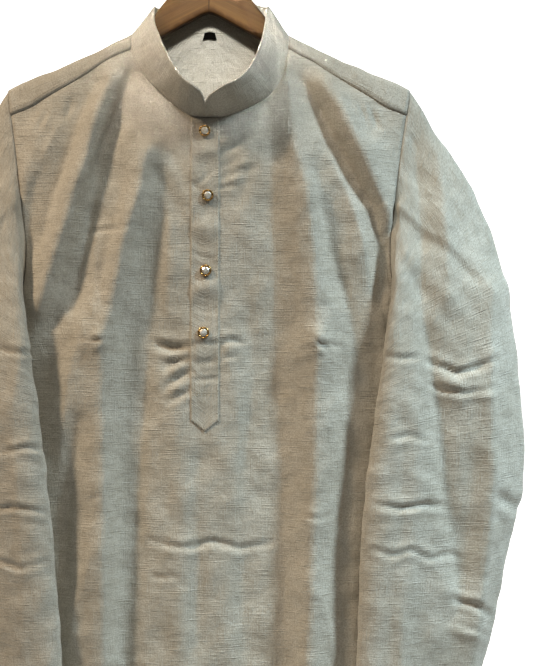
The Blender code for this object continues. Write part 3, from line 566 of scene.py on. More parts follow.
RIGHT_SLEEVE_CREASES = {
    "front": (
        (8, 2, ((-204, -318), (-238, -350), (-272, -388), (-300, -426))),
        (3.0, 2.2, ((-176, -481), (-196, -484), (-222, -479))),
        (2.8, 1.9, ((-236, -496), (-262, -503), (-286, -520))),
        (3.0, 2.2, ((-168, -586), (-190, -583), (-214, -588))),
        (3.0, 2.4, ((-170, -652), (-204, -646), (-244, -653))),
        (3.0, 2, ((-168, -704), (-196, -711), (-228, -703), (-258, -711))),
        (2.8, 1.7, ((-240, -772), (-268, -779), (-292, -790))),
        (9, 1.8, ((-276, -560), (-280, -630), (-268, -720), (-250, -820))),
        (8, 1.6, ((-212, -560), (-204, -650), (-196, -750), (-188, -835))),
        (6, 2.6, ((-302, -640), (-318, -648), (-332, -654))),
    ),
    "behind": (
        (9, 2, ((-222, -326), (-258, -384), (-296, -436))),
        (3.0, 2, ((-206, -500), (-240, -494), (-280, -501))),
        (3.0, 2, ((-224, -574), (-258, -568), (-296, -575))),
        (3.2, 2.2, ((-190, -664), (-232, -658), (-276, -666))),
        (3.0, 1.9, ((-180, -734), (-214, -728), (-254, -735))),
        (9, 1.8, ((-286, -570), (-280, -660), (-262, -800))),
    ),
}
print("creases of a sleeve's front:", len(LEFT_SLEEVE_CREASES["front"]), len(RIGHT_SLEEVE_CREASES["front"]))


# %% [markdown]
# ## Node helpers
#
# A finish is a small sum: colour plus some unevenness, less a shadow in the grooves. Written as Python
# expressions it reads like one. The class below wraps one output socket, and adds a node for each operator.

# %% Shader expressions
class Value:
    """One number socket of a node tree, which can be added, taken away and multiplied."""

    def __init__(self, finish, socket):
        self.finish = finish
        self.socket = socket

    def _math(self, operation, a, b):
        return self.finish.node("ShaderNodeMath", {"operation": operation}, {0: a, 1: b})

    def __add__(self, other):
        return self._math("ADD", self, other)

    __radd__ = __add__

    def __sub__(self, other):
        return self._math("SUBTRACT", self, other)

    def __rsub__(self, other):
        return self._math("SUBTRACT", other, self)

    def __mul__(self, other):
        return self._math("MULTIPLY", self, other)

    __rmul__ = __mul__


# %% A finish and the nodes that make it
class Finish:
    """A material with a Principled BSDF, and the nodes that feed it."""

    def __init__(self, name, **settings):
        self.material = bpy.data.materials.new(name)
        self.material.use_nodes = True
        self.tree = self.material.node_tree
        self.surface = self.tree.nodes["Principled BSDF"]
        for socket, value in settings.items():
            self.surface.inputs[socket.replace("_", " ")].default_value = value

    def node(self, kind, settings=None, sockets=None, out=0):
        """A node of one kind, with its settings set first, then the values or links of its sockets."""
        made = self.tree.nodes.new(kind)
        for name, value in (settings or {}).items():
            setattr(made, name, value)
        for name, value in (sockets or {}).items():
            if isinstance(value, Value):
                self.tree.links.new(value.socket, made.inputs[name])
            else:
                made.inputs[name].default_value = value
        return Value(self, made.outputs[out])

    def mix(self, share, one, other):
        """A colour between two, by a share from 0 to 1."""
        settings = {"data_type": "RGBA"}
        return self.node("ShaderNodeMix", settings, {0: share, 6: one, 7: other}, out=2)

    def noise(self, where, scale, detail=2.0, rough=0.5):
        """Soft random patches, at so many to the metre."""
        sockets = {"Vector": where, "Scale": scale, "Detail": detail, "Roughness": rough}
        return self.node("ShaderNodeTexNoise", {}, sockets)

    def stretched(self, where, x, y, z):
        """Coordinates multiplied by a different number along each axis."""
        return self.node("ShaderNodeVectorMath", {"operation": "MULTIPLY"}, {0: where, 1: (x, y, z)})

    def between(self, value, low, high):
        """0 below low, 1 above high, smooth between."""
        settings = {"interpolation_type": "SMOOTHSTEP"}
        return self.node("ShaderNodeMapRange", settings, {"Value": value, "From Min": low, "From Max": high})

    def feed(self, socket, value):
        self.tree.links.new(value.socket, self.surface.inputs[socket])

    def bump(self, height, distance, strength=1.0):
        sockets = {"Height": height, "Distance": distance, "Strength": strength}
        self.feed("Normal", self.node("ShaderNodeBump", {}, sockets))


# %% [markdown]
# ## The cloth's finish
#
# The cloth is a plain weave of cream cotton and silk with slubs: some threads swell for a few centimetres,
# which shows as short pale and dark dashes along both directions of the weave. Every panel carries a UV map
# in metres, so one finish serves them all and the threads follow each panel's own cut. Sheen gives the soft
# glow of silk at grazing angles.

# %% Cream slub cloth
CREAM = (0.655, 0.615, 0.53, 1)
CREAM_PALE = (0.75, 0.71, 0.61, 1)
CREAM_DEEP = (0.40, 0.352, 0.272, 1)


def cream_cloth():
    """The one finish of every panel."""
    finish = Finish("cream_slub_cloth", Sheen_Weight=0.22, Sheen_Roughness=0.45, Specular_IOR_Level=0.3)
    finish.surface.inputs["Sheen Tint"].default_value = (1.0, 0.97, 0.9, 1)
    where = finish.node("ShaderNodeUVMap", {"uv_map": "cloth"})
    weft = finish.noise(finish.stretched(where, 40, 820, 1), 1.0, 1.0, 0.55)
    warp = finish.noise(finish.stretched(where, 760, 36, 1), 1.0, 1.0, 0.55)
    patches = finish.noise(where, 14, 3.0, 0.6)
    mottle = finish.noise(where, 95, 3.0, 0.65)
    crumple = finish.noise(where, 34, 2.0, 0.5)
    slubs = finish.between(weft, 0.56, 0.8) * 0.55 + finish.between(warp, 0.58, 0.82) * 0.45
    thin = finish.between(weft, 0.44, 0.22) * 0.5 + finish.between(warp, 0.42, 0.2) * 0.4
    base = finish.mix(finish.between(patches, 0.3, 0.75) * 0.35, CREAM, CREAM_DEEP)
    base = finish.mix(finish.between(mottle, 0.42, 0.68) * 0.3, base, CREAM_DEEP)
    grain = finish.noise(where, 620, 2.0, 0.6)
    base = finish.mix(slubs * 0.85, base, CREAM_PALE)
    base = finish.mix(thin * 0.9, base, CREAM_DEEP)
    base = finish.mix(finish.between(grain, 0.4, 0.64) * 0.6, base, CREAM_DEEP)
    finish.feed("Base Color", base)
    finish.feed("Roughness", 0.66 - slubs * 0.16 + thin * 0.1)
    threads = weft * 0.5 + warp * 0.5 + slubs + grain * 0.5
    finish.bump(threads + mottle * 1.2 + crumple * 5.0, 0.0007, 0.9)
    return finish.material


cloth_finish = cream_cloth()
print("nodes of the cloth:", len(cloth_finish.node_tree.nodes))


# %% [markdown]
# ## Building a sheet of cloth
#
# A sheet is a grid of points, a UV map in metres, and a Solidify modifier that gives it its thickness
# inwards, so that its outer face stays on the solid's outer face.

# %% Make a sheet object
def placed(name, data):
    """A new object in the scene, at the origin."""
    obj = bpy.data.objects.new(name, data)
    bpy.context.scene.collection.objects.link(obj)
    return obj


def straight_weave(grid):
    """Cloth coordinates for a body panel: across from its middle column, and straight down."""
    steps = np.linalg.norm(np.diff(grid[..., :2], axis=1), axis=2)
    run = np.concatenate([np.zeros((len(grid), 1)), np.cumsum(steps, axis=1)], axis=1)
    middle = grid.shape[1] // 2
    return run - run[:, middle:middle + 1] + grid[:, middle:middle + 1, 0], -grid[..., 2]


def sheet_mesh(name, grid, down, across, ring, finish, thickness, weave=None):
    """A panel of cloth from its grid of points, with its weave laid on as a UV map."""
    rows, columns = grid.shape[:2]
    wide = columns if ring else columns - 1
    r, c = np.meshgrid(np.arange(rows - 1), np.arange(wide), indexing="ij")
    n = (c + 1) % columns
    left, right = r * columns + c, r * columns + n
    faces = np.stack([left, left + columns, right + columns, right], axis=-1)
    mesh = bpy.data.meshes.new(name)
    mesh.from_pydata((grid.reshape(-1, 3) * MM).tolist(), [], faces.reshape(-1, 4).tolist())
    spread = np.append(across, across[-1] + across[1]) if ring else across
    u = np.stack([spread[c], spread[c], spread[c + 1], spread[c + 1]], axis=-1)
    v = np.stack([down[r], down[r + 1], down[r + 1], down[r]], axis=-1)
    if weave:
        u, v = (np.stack([w[:-1, :-1], w[1:, :-1], w[1:, 1:], w[:-1, 1:]], axis=-1) for w in weave)
    layer = mesh.uv_layers.new(name="cloth")
    layer.data.foreach_set("uv", (np.stack([u, -v], axis=-1) * MM).ravel())
    mesh.polygons.foreach_set("use_smooth", np.ones(len(mesh.polygons), bool))
    mesh.materials.append(finish)
    obj = placed(name, mesh)
    wall = obj.modifiers.new("thickness", "SOLIDIFY")
    wall.thickness = thickness * MM
    wall.offset = -1
    return obj


def turned_out(obj, towards):
    """Turns the faces round if they look the wrong way, and says how large the sheet is."""
    area = sum(p.area for p in obj.data.polygons)
    look = sum((p.normal * p.area).dot(towards(p.center)) for p in obj.data.polygons)
    if look < 0:
        obj.data.flip_normals()
    print(obj.name, "area in square metres:", round(area, 3), "faces:", len(obj.data.polygons))
    return obj


# %% [markdown]
# ## The front
#
# The front is one panel from the yoke seams down to the hem. Its big folds hang from the points of the
# hanger and from the collar. The creases are added along the cloth's own direction out. They fade at the
# seams, because the sewing holds the cloth there.

# %% Front panel
def ease(t):
    """0 to 1 with a soft start and a soft end."""
    t = np.clip(t, 0.0, 1.0)
    return t * t * (3 - 2 * t)


def held_at_seams(shape, down, across, reach, ring=False):
    """0 on the edges of a panel and 1 from reach inwards, without the bottom edge."""
    top = ease(down / reach)[:, None]
    if ring:
        return np.broadcast_to(top, shape)
    side = ease(np.minimum(across, across[-1] - across) / reach)[None, :]
    return top * side


front, front_down, front_across = finer(panels["front"], BODY_CELL, fine_to=FINE_TO)
front_out = facing(front, False, (0, -1, 0))
front_flat = front[..., [0, 2]]
front_lift = folded(front_flat, FRONT_FOLDS) * FRONT_STRENGTH + creased(front_flat, FRONT_CREASES)
front_lift = front_lift + uneven(front_flat, seed=3, size=46, height=0.9)
front_lift = front_lift + uneven(front_flat, seed=4, size=19, height=0.16)
front_lift = front_lift * held_at_seams(front.shape[:2], front_down, front_across, FRONT_HELD)
front = front + front_out * front_lift[..., None]
front_weave = straight_weave(front)
front_piece = sheet_mesh(
    "front_cloth", front, front_down, front_across, False, cloth_finish, CLOTH, front_weave
)
turned_out(front_piece, lambda p: Vector((0, -1, 0)))

# %% [markdown]
# ## The back
#
# The back hangs from the yoke in soft vertical folds of its own.

# %% Back panel
back, back_down, back_across = finer(panels["back"], BACK_CELL)
back_out = facing(back, False, (0, 1, 0))
back_flat = back[..., [0, 2]]
back_lift = folded(back_flat, BACK_FOLDS) + creased(back_flat, BACK_CREASES)
back_lift = back_lift + uneven(back_flat, seed=7, size=50, height=0.9)
back_lift = back_lift + uneven(back_flat, seed=8, size=20, height=0.16)
back_lift = back_lift * held_at_seams(back.shape[:2], back_down, back_across, BACK_HELD)
back = back + back_out * back_lift[..., None]
back_weave = straight_weave(back)
back_piece = sheet_mesh("back_cloth", back, back_down, back_across, False, cloth_finish, CLOTH, back_weave)
turned_out(back_piece, lambda p: Vector((0, 1, 0)))

# %% [markdown]
# ## The yoke
#
# The yoke lies over the shoulders in one piece. It laps the front and the back by a millimetre, with its
# edge turned under and stitched down, so that edge stands up a little.

# %% Yoke
yoke, yoke_down, yoke_across = finer(panels["yoke"], YOKE_CELL)
yoke_out = facing(yoke, False, (0, 0, 1))
from_ends = np.minimum(yoke_down, yoke_down[-1] - yoke_down)[:, None]
from_far = (yoke_across[-1] - yoke_across)[None, :]
from_seam = np.minimum(from_ends, from_far)
rise = SEAM_RISE * (1 - ease((from_seam - 4) / 5))
yoke_flat = yoke[..., :2]
yoke_lift = uneven(yoke_flat, seed=11, size=30, height=0.35)
yoke_lift = yoke_lift * ease(from_seam / 12) * ease(yoke_across[None, :] / 10)
lap_ends = unit(yoke[0] - yoke[1]), unit(yoke[-1] - yoke[-2])
yoke = yoke + yoke_out * (rise + yoke_lift)[..., None]
yoke[0] = yoke[0] + lap_ends[0] * SEAM_LAP
yoke[-1] = yoke[-1] + lap_ends[1] * SEAM_LAP
yoke_piece = sheet_mesh("yoke_cloth", yoke, yoke_down, yoke_across, False, cloth_finish, CLOTH)
turned_out(yoke_piece, lambda p: Vector((0, 0, 1)))


# %% [markdown]
# ## The sleeves
#
# Each sleeve is a tube from the armhole to the cuff. A crease belongs to the face, front or behind, that
# its table names, so it is weighed by which way the cloth looks there.

# %% Sleeves
def sleeve(name, folds, creases, seed):
    """One sleeve as a sheet. It gives back the object, its points and its direction out."""
    grid, down, across = finer(panels[name], SLEEVE_CELL, ring=True)
    middle = grid.mean(axis=1, keepdims=True)
    out = facing(grid, True, grid - middle)
    flat = grid[..., [0, 2]]
    forward = ease(0.5 - out[..., 1] * 1.4)
    in_front = folded(flat, folds["front"]) + creased(flat, creases["front"])
    behind = folded(flat, folds["behind"]) + creased(flat, creases["behind"])
    lift = in_front * forward + behind * (1 - forward)
    lift = lift + uneven(flat + grid[..., [1, 1]], seed, size=40, height=0.6)
    lift = lift + uneven(flat, seed + 1, size=19, height=0.14)
    lift = lift * held_at_seams(grid.shape[:2], down, across, SLEEVE_HELD, ring=True)
    grid = grid + out * lift[..., None]
    piece = sheet_mesh(name + "_cloth", grid, down, across, True, cloth_finish, CLOTH)
    centre = Vector(np.append(middle.mean(axis=0)[0, :2], 0) * MM)
    turned_out(piece, lambda p: Vector((p.x - centre.x, p.y - centre.y, 0)))
    return piece, grid, out, down


left_sleeve, left_grid, left_out, left_down = sleeve(
    "sleeve_left", LEFT_SLEEVE_FOLDS, LEFT_SLEEVE_CREASES, seed=21
)
right_sleeve, right_grid, right_out, right_down = sleeve(
    "sleeve_right", RIGHT_SLEEVE_FOLDS, RIGHT_SLEEVE_CREASES, seed=31
)

# %% [markdown]
# ## The stand collar
#
# The collar is a band of doubled cloth over a stiffener. It stands up from the neck seam and its two rounded
# ends meet in a notch above the placket. Its edges are rounded with a Bevel, because it is turned inside out
# after sewing and pressed.

# %% Collar
COLLAR_LAP = 1.2
COLLAR_FORWARD = 15.0
COLLAR_ROUNDING = 0.6
NECK_MIDDLE_Y = -25.0
COLLAR_CREASES = (
    # width, depth, line of distance round the band and distance down it
    (2.2, 0.7, ((108, 4), (116, 20), (126, 38))),
    (2.6, 0.6, ((318, 6), (312, 22), (300, 37))),
    (5.0, 0.8, ((64, 6), (80, 24), (92, 38))),
    (5.0, 0.7, ((346, 8), (336, 24), (330, 36))),
)
collar, collar_down, collar_across = finer(panels["collar"], COLLAR_CELL)
in_front = ease((-collar[..., 1] - 12) / 40)[..., None]
from_seam = (1 - collar_down / collar_down[-1])[:, None, None]
collar = collar + in_front * from_seam * (0, -COLLAR_FORWARD, 0)
collar_out = facing(collar, False, (collar - (0, NECK_MIDDLE_Y, 0)) * (1, 1, 0))
collar_flat = np.stack(np.broadcast_arrays(collar_across[None, :], collar_down[:, None]), axis=-1)
collar_lift = creased(collar_flat, COLLAR_CREASES) + uneven(collar_flat, seed=41, size=34, height=0.3)
collar_edge = np.minimum(collar_down, collar_down[-1] - collar_down)[:, None]
collar = collar + collar_out * (collar_lift * ease(collar_edge / 8))[..., None]
collar[-1] = collar[-1] + unit(collar[-1] - collar[-2]) * COLLAR_LAP
collar_piece = sheet_mesh(
    "collar_cloth", collar, collar_down, collar_across, False, cloth_finish, COLLAR_CLOTH
)
turned_out(collar_piece, lambda p: Vector((p.x, p.y - NECK_MIDDLE_Y * MM, 0)))
soft_edge = collar_piece.modifiers.new("soft edge", "BEVEL")
soft_edge.width = COLLAR_ROUNDING * MM
soft_edge.segments = 2
soft_edge.angle_limit = math.radians(50)
print("collar runs", round(collar_across[-1]), "mm round the neck")

# %% [markdown]
# ## Turned hems
#
# At the hem and the cuffs the cloth is folded under and stitched. The folded part is a second layer inside,
# so the edge is twice as thick and shows its fold from below.

# %% Hems and cuffs
HEM_TURN = 20.0
CUFF_TURN = 26.0
HEM_LAYER = CLOTH + 0.15


def turned_hem(name, grid, out, down, height, ring):
    """The folded layer inside the last stretch of a panel."""
    rows = down > down[-1] - height
    inner = grid[rows] - out[rows] * HEM_LAYER
    depth = down[rows] - down[rows][0]
    across = run_along(inner.transpose(1, 0, 2))
    return sheet_mesh(name, inner, depth, across, ring, cloth_finish, HEM_CLOTH)


front_hem = turned_hem("front_hem_turn", front, front_out, front_down, HEM_TURN, False)
turned_out(front_hem, lambda p: Vector((0, -1, 0)))
back_hem = turned_hem("back_hem_turn", back, back_out, back_down, HEM_TURN, False)
turned_out(back_hem, lambda p: Vector((0, 1, 0)))
cuff_turns = []
for name, grid, out, down in (
    ("sleeve_left_cuff_turn", left_grid, left_out, left_down),
    ("sleeve_right_cuff_turn", right_grid, right_out, right_down),
):
    piece = turned_hem(name, grid, out, down, CUFF_TURN, True)
    middle = Vector(grid[-1].mean(axis=0) * MM)
    turned_out(piece, lambda p: Vector((p.x - middle.x, p.y - middle.y, 0)))
    cuff_turns.append(piece)

# %% [markdown]
# ## The placket
#
# The placket is a narrow band laid on the front, 30 mm wide with a pointed end. Each of its points is found
# by looking straight at the finished front and stepping out from it, so it follows every crease below.
# Its edges are turned under, which is why they roll down to the cloth.

# %% Looking at the front
LOOK_FROM = -0.4
front_faces = [tuple(p.vertices) for p in front_piece.data.polygons]
front_tree = BVHTree.FromPolygons([tuple(v.co) for v in front_piece.data.vertices], front_faces)


def on_front(x, z, lift=0.0):
    """The point of the front at x, z, stepped out by lift, and the direction out there, in millimetres."""
    place, out, _, _ = front_tree.ray_cast(Vector((x * MM, LOOK_FROM, z * MM)), Vector((0, 1, 0)))
    out = np.array(out if out.y < 0 else -out)
    return np.array(place) / MM + out * lift, out


print("the front at its middle, 300 mm below the hook:", np.round(on_front(0, -300)[0], 1).tolist())

# %% Sizes of the placket and its creases
PLACKET_LEFT, PLACKET_RIGHT = -18.0, 12.8
PLACKET_TOP, PLACKET_SHOULDER, PLACKET_TIP = -230.0, -556.0, -568.0
PLACKET_ROLL = 1.4
PLACKET_CELL = 2.2
PLACKET_EDGE_LIFT = 0.25
PLACKET_DEEPEST = -0.9


def placket_bottom(x):
    """The height of the pointed end at x."""
    half = (PLACKET_RIGHT - PLACKET_LEFT) / 2
    off_centre = abs(x - (PLACKET_LEFT + PLACKET_RIGHT) / 2) / half
    return PLACKET_TIP + (PLACKET_SHOULDER - PLACKET_TIP) * off_centre


PLACKET_CREASES = (
    # width, depth, line of x, z: below 0 it swells out
    (2.4, 0.9, ((-12, -305), (-2, -294), (8, -285))),
    (9, -2.2, ((-18, -268), (12, -262))),
    (2.2, 0.9, ((-18, -299), (-7, -309))),
    (3.0, 1.0, ((-14, -377), (7, -384))),
    (9, -2.4, ((-18, -416), (12, -413))),
    (8, -1.8, ((-18, -352), (12, -346))),
    (3.0, 0.9, ((-15, -433), (8, -439))),
    (2.4, 1.5, ((-15, -474), (12, -472))),
    (4.0, -1.0, ((-16, -486), (12, -483))),
    (2.4, 0.9, ((-15, -495), (11, -493))),
    (2.2, 1.2, ((-18, -513), (13, -511))),
)
print("the placket is", round(PLACKET_RIGHT - PLACKET_LEFT, 1), "by", PLACKET_TOP - PLACKET_TIP, "mm")


# %% Placket
def placket_sheet():
    """The band, with more rows and columns where its edges roll under."""
    width = PLACKET_RIGHT - PLACKET_LEFT
    inner = np.linspace(PLACKET_ROLL, width - PLACKET_ROLL, 15)
    columns = PLACKET_LEFT + np.concatenate([[0, 0.4, 0.9], inner, [width - 0.9, width - 0.4, width]])
    count = int((PLACKET_TOP - PLACKET_SHOULDER) / PLACKET_CELL)
    shares = np.concatenate([np.linspace(0, 1, count) * 0.99, [0.9935, 0.997, 0.9985, 1.0]])
    points = []
    for share in shares:
        line = []
        for x in columns:
            z = PLACKET_TOP + (placket_bottom(x) - PLACKET_TOP) * share
            edge = min(x - PLACKET_LEFT, PLACKET_RIGHT - x, (z - placket_bottom(x)) * 0.9)
            roll = math.sqrt(max(1 - (1 - min(edge / PLACKET_ROLL, 1)) ** 2, 0))
            swell = creased(np.array([[x, z]]), PLACKET_CREASES)[0] * roll
            lift = PLACKET_EDGE_LIFT + (PLACKET_LIFT - PLACKET_EDGE_LIFT) * roll
            line.append(on_front(x, z, lift + max(swell, PLACKET_DEEPEST))[0])
        points.append(line)
    points = np.array(points)
    down, across = run_along(points), run_along(points.transpose(1, 0, 2))
    piece = sheet_mesh("placket_cloth", points, down, across, False, cloth_finish, PLACKET_CLOTH)
    return turned_out(piece, lambda p: Vector((0, -1, 0)))


placket_piece = placket_sheet()

# %% [markdown]
# ## Stitching
#
# Machine stitches are short bright dashes, sunk a little at their ends. Each is a small spindle of eight
# corners. All the stitches of a run are one mesh, because thousands of separate objects would be slow.

# %% Runs of stitches
STITCH_START = 0.4
STITCH_WIDE = (0.28, 0.72)
thread_finish = Finish("sewing_thread", Base_Color=(0.66, 0.60, 0.47, 1), Roughness=0.5, Sheen_Weight=0.3)
thread_where = thread_finish.node("ShaderNodeTexCoord", out=3)
thread_twist = thread_finish.noise(thread_where, 2600, 1.0)
thread_finish.bump(thread_twist, 0.0002, 0.5)
thread_finish.feed("Roughness", thread_twist * 0.3 + 0.4)


def stitches(name, runs):
    """One mesh of stitches. Each run is its points and the direction out of the cloth at each of them."""
    points, faces = [], []
    for line, outs in runs:
        line, outs = np.array(line, float), np.array(outs, float)
        run = np.concatenate([[0], np.cumsum(np.linalg.norm(np.diff(line, axis=0), axis=1))])

        def at(where, values):
            return np.array([np.interp(where, run, values[:, k]) for k in range(3)])

        for start in np.arange(STITCH_START, run[-1] - STITCH, STITCH + STITCH_GAP):
            first = len(points)
            ends = [at(start, line), at(start + STITCH, line)]
            points.extend(ends)
            way = unit(ends[1] - ends[0])
            for share in STITCH_WIDE:
                out = unit(at(start + STITCH * share, outs))
                side = np.cross(way, out)
                middle = at(start + STITCH * share, line) + out * THREAD * 0.35
                for a, b in ((1, 0), (0, 0.8), (-1, 0), (0, -0.8)):
                    points.append(middle + (side * a + out * b) * THREAD / 2)
            for k in range(4):
                n = (k + 1) % 4
                a, b, c, d = first + 2 + k, first + 2 + n, first + 6 + n, first + 6 + k
                faces += [(first, a, b), (a, d, c, b), (first + 1, c, d)]
    mesh = bpy.data.meshes.new(name)
    mesh.from_pydata((np.array(points) * MM).tolist(), [], faces)
    mesh.polygons.foreach_set("use_smooth", [True] * len(faces))
    mesh.materials.append(thread_finish.material)
    print(name, "stitches:", len(points) // 10)
    return placed(name, mesh)


def seam_on_front(corners, lift, step=2.0):
    """A run of stitches through corners given as x, z, laid on the front."""
    points, outs = [], []
    for (x0, z0), (x1, z1) in zip(corners[:-1], corners[1:]):
        count = max(int(math.hypot(x1 - x0, z1 - z0) / step), 1)
        for k in range(count + 1):
            point, out = on_front(x0 + (x1 - x0) * k / count, z0 + (z1 - z0) * k / count, lift)
            points.append(point)
            outs.append(out)
    return points, outs


def seam_on_grid(grid, out, lift, row):
    """A run of stitches along a row of a panel's grid."""
    return grid[row] + out[row] * lift, out[row]


# %% Stitches of the placket, yoke, collar and hems
EDGE = 1.9
BAR_Z = -526.5
BAR_GAP = 2.4
PLACKET_STITCH_LIFT = PLACKET_LIFT + 0.15
YOKE_STITCH_LIFT, COLLAR_STITCH_LIFT, HEM_STITCH_LIFT = 0.15, 0.12, 0.1
seam_left, seam_right = PLACKET_LEFT + EDGE, PLACKET_RIGHT - EDGE
placket_seams = (
    (
        (seam_left, PLACKET_TOP - 2),
        (seam_left, PLACKET_SHOULDER + 1),
        ((PLACKET_LEFT + PLACKET_RIGHT) / 2, PLACKET_TIP + 2.6),
        (seam_right, PLACKET_SHOULDER + 1),
        (seam_right, PLACKET_TOP - 2),
    ),
    ((seam_left, BAR_Z), (seam_right, BAR_Z)),
    ((seam_left, BAR_Z - BAR_GAP), (seam_right, BAR_Z - BAR_GAP)),
)
placket_stitches = stitches(
    "placket_stitches", [seam_on_front(corners, PLACKET_STITCH_LIFT) for corners in placket_seams]
)


def row_at(down, distance_up):
    """The row of a grid that lies this far above its bottom edge."""
    return int(np.argmin(np.abs(down - (down[-1] - distance_up))))


yoke_edge_out = facing(yoke, False, (0, 0, 1))
yoke_stitches = stitches(
    "yoke_stitches", [seam_on_grid(yoke, yoke_edge_out, YOKE_STITCH_LIFT, row) for row in (1, -2)]
)
collar_stitches = stitches("collar_stitches", [seam_on_grid(collar, collar_out, COLLAR_STITCH_LIFT, -2)])
hem_stitches = stitches("hem_stitches", [
    seam_on_grid(front, front_out, HEM_STITCH_LIFT, row_at(front_down, HEM_STITCH_UP)),
    seam_on_grid(back, back_out, HEM_STITCH_LIFT, row_at(back_down, HEM_STITCH_UP)),
])
cuff_stitches = [
    stitches(name, [seam_on_grid(grid, out, HEM_STITCH_LIFT, row_at(down, CUFF_STITCH_UP))])
    for name, grid, out, down in (
        ("sleeve_left_cuff_stitches", left_grid, left_out, left_down),
        ("sleeve_right_cuff_stitches", right_grid, right_out, right_down),
    )
]

# %% [markdown]
# ## The buttons
#
# Four domed buttons, each a gold rim round a pearly cut centre. A profile is turned round the button's own
# axis. The centre has eight flat facets, which is what makes it sparkle, and the rim is smooth.

# %% Button finishes
GOLD_DULL, GOLD_BRIGHT = (0.42, 0.24, 0.08, 1), (0.78, 0.54, 0.24, 1)
PEARL_DEEP, PEARL_PALE = (0.72, 0.62, 0.46, 1), (0.92, 0.90, 0.84, 1)
gold_finish = Finish("button_gold", Base_Color=(0.68, 0.44, 0.17, 1), Metallic=1.0, Roughness=0.24)
gold_where = gold_finish.node("ShaderNodeTexCoord", out=3)
gold_wear = gold_finish.noise(gold_where, 900, 3.0)
gold_finish.feed("Roughness", gold_wear * 0.3 + 0.12)
gold_colour = gold_finish.mix(gold_finish.between(gold_wear, 0.35, 0.7), GOLD_DULL, GOLD_BRIGHT)
gold_finish.feed("Base Color", gold_colour)

pearl_finish = Finish("button_pearl", Roughness=0.12, Coat_Weight=0.8, Coat_Roughness=0.05, Metallic=0.35)
pearl_where = pearl_finish.node("ShaderNodeTexCoord", out=3)
pearl_swirl = pearl_finish.noise(pearl_where, 420, 2.0)
pearl_colour = pearl_finish.mix(pearl_finish.between(pearl_swirl, 0.35, 0.65), PEARL_DEEP, PEARL_PALE)
pearl_finish.feed("Base Color", pearl_colour)
print("button finishes:", gold_finish.material.name, pearl_finish.material.name)

# %% Turn a button
RIM_PROFILE = ((0.0, 0.0), (0.80, 0.0), (0.94, 0.35), (1.0, 1.1), (0.985, 1.9), (0.93, 2.55), (0.85, 2.8),
               (0.77, 2.6), (0.72, 2.1), (0.69, 1.9))
PEARL_PROFILE = ((0.70, 1.7), (0.64, 2.6), (0.46, 3.3), (0.24, 3.75))
RIM_AROUND, PEARL_AROUND = 40, 8
BUTTON_RISE = PLACKET_LIFT + 0.35


def turned(profile, around, radius, start):
    """A profile of shares of the radius and heights, turned round an axis."""
    points, faces = [], []
    for share, height in profile:
        for k in range(around):
            turn = 2 * math.pi * (k + start) / around
            points.append((math.cos(turn) * share * radius, math.sin(turn) * share * radius, height))
    for ring in range(len(profile) - 1):
        for k in range(around):
            n = (k + 1) % around
            a, b = ring * around, (ring + 1) * around
            faces.append((a + k, a + n, b + n, b + k))
    return points, faces


def button(name):
    """A button on the placket, where its solid is."""
    low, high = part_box(name)
    centre = (np.array(low) + np.array(high)) / 2 / MM
    radius = (high.x - low.x) / 2 / MM
    outs = [on_front(centre[0] + dx, centre[2] + dz)[1] for dx in (-5, 0, 5) for dz in (-5, 0, 5)]
    axis = unit(np.sum(outs, axis=0))
    right = unit(np.cross(axis, (0.0, 0.0, 1.0)))
    up = np.cross(right, axis)
    base = on_front(centre[0], centre[2])[0] + axis * BUTTON_RISE
    rim, rim_faces = turned(RIM_PROFILE, RIM_AROUND, radius, 0)
    pearl, pearl_faces = turned(PEARL_PROFILE, PEARL_AROUND, radius, 0.5)
    top_ring = len(pearl) - PEARL_AROUND
    pearl_faces.append(tuple(range(top_ring, len(pearl))))
    first = len(rim)
    local = np.array(rim + pearl)
    points = base + local[:, :1] * right + local[:, 1:2] * up + local[:, 2:] * axis
    faces = rim_faces + [tuple(first + k for k in face) for face in pearl_faces]
    mesh = bpy.data.meshes.new(name + "_domed")
    mesh.from_pydata((points * MM).tolist(), [], faces)
    mesh.materials.append(gold_finish.material)
    mesh.materials.append(pearl_finish.material)
    for k, polygon in enumerate(mesh.polygons):
        polygon.material_index = int(k >= len(rim_faces))
        polygon.use_smooth = k < len(rim_faces)
    if sum((p.center - Vector(base * MM)).dot(p.normal) for p in mesh.polygons) < 0:
        mesh.flip_normals()
    print(name, "is", round(2 * radius, 1), "mm across")
    return placed(name + "_domed", mesh)


buttons = {f"button_{k}": button(f"button_{k}") for k in range(1, 5)}

# %% [markdown]
# ## The label
#
# A bare woven tape hangs from the neck seam inside the back. It is nearly black and matt.

# %% Label
TAPE_BLACK, TAPE_RIB = (0.003, 0.0024, 0.002, 1), (0.012, 0.009, 0.007, 1)
LABEL_CELL = 0.9
label_finish = Finish("label_tape", Roughness=0.95, Specular_IOR_Level=0.02)
label_where = label_finish.node("ShaderNodeUVMap", {"uv_map": "cloth"})
label_ribs = label_finish.noise(label_finish.stretched(label_where, 300, 4000, 1), 1.0, 1.0)
label_finish.feed("Base Color", label_finish.mix(label_ribs, TAPE_BLACK, TAPE_RIB))
label_finish.bump(label_ribs, 0.0002, 0.5)
label_cage, _ = rows_and_columns(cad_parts["neck_label"], (0, 60, -130), 0.9)
label_grid, label_down, label_across = finer(upright(label_cage, False), LABEL_CELL)
label_piece = sheet_mesh(
    "neck_label_tape", label_grid, label_down, label_across, False, label_finish.material, LABEL_CLOTH
)
turned_out(label_piece, lambda p: Vector((0, -1, 0)))

# %% [markdown]
# ## The hanger
#
# The board is a flat piece of varnished wood with rounded edges. Its solid is a coarse cage, so a Subdivision
# Surface rounds it, after the triangles are joined back into four-sided faces. The grain runs along
# each arm, so the pattern is laid on a coordinate that is mirrored at the middle and slopes with the arm.

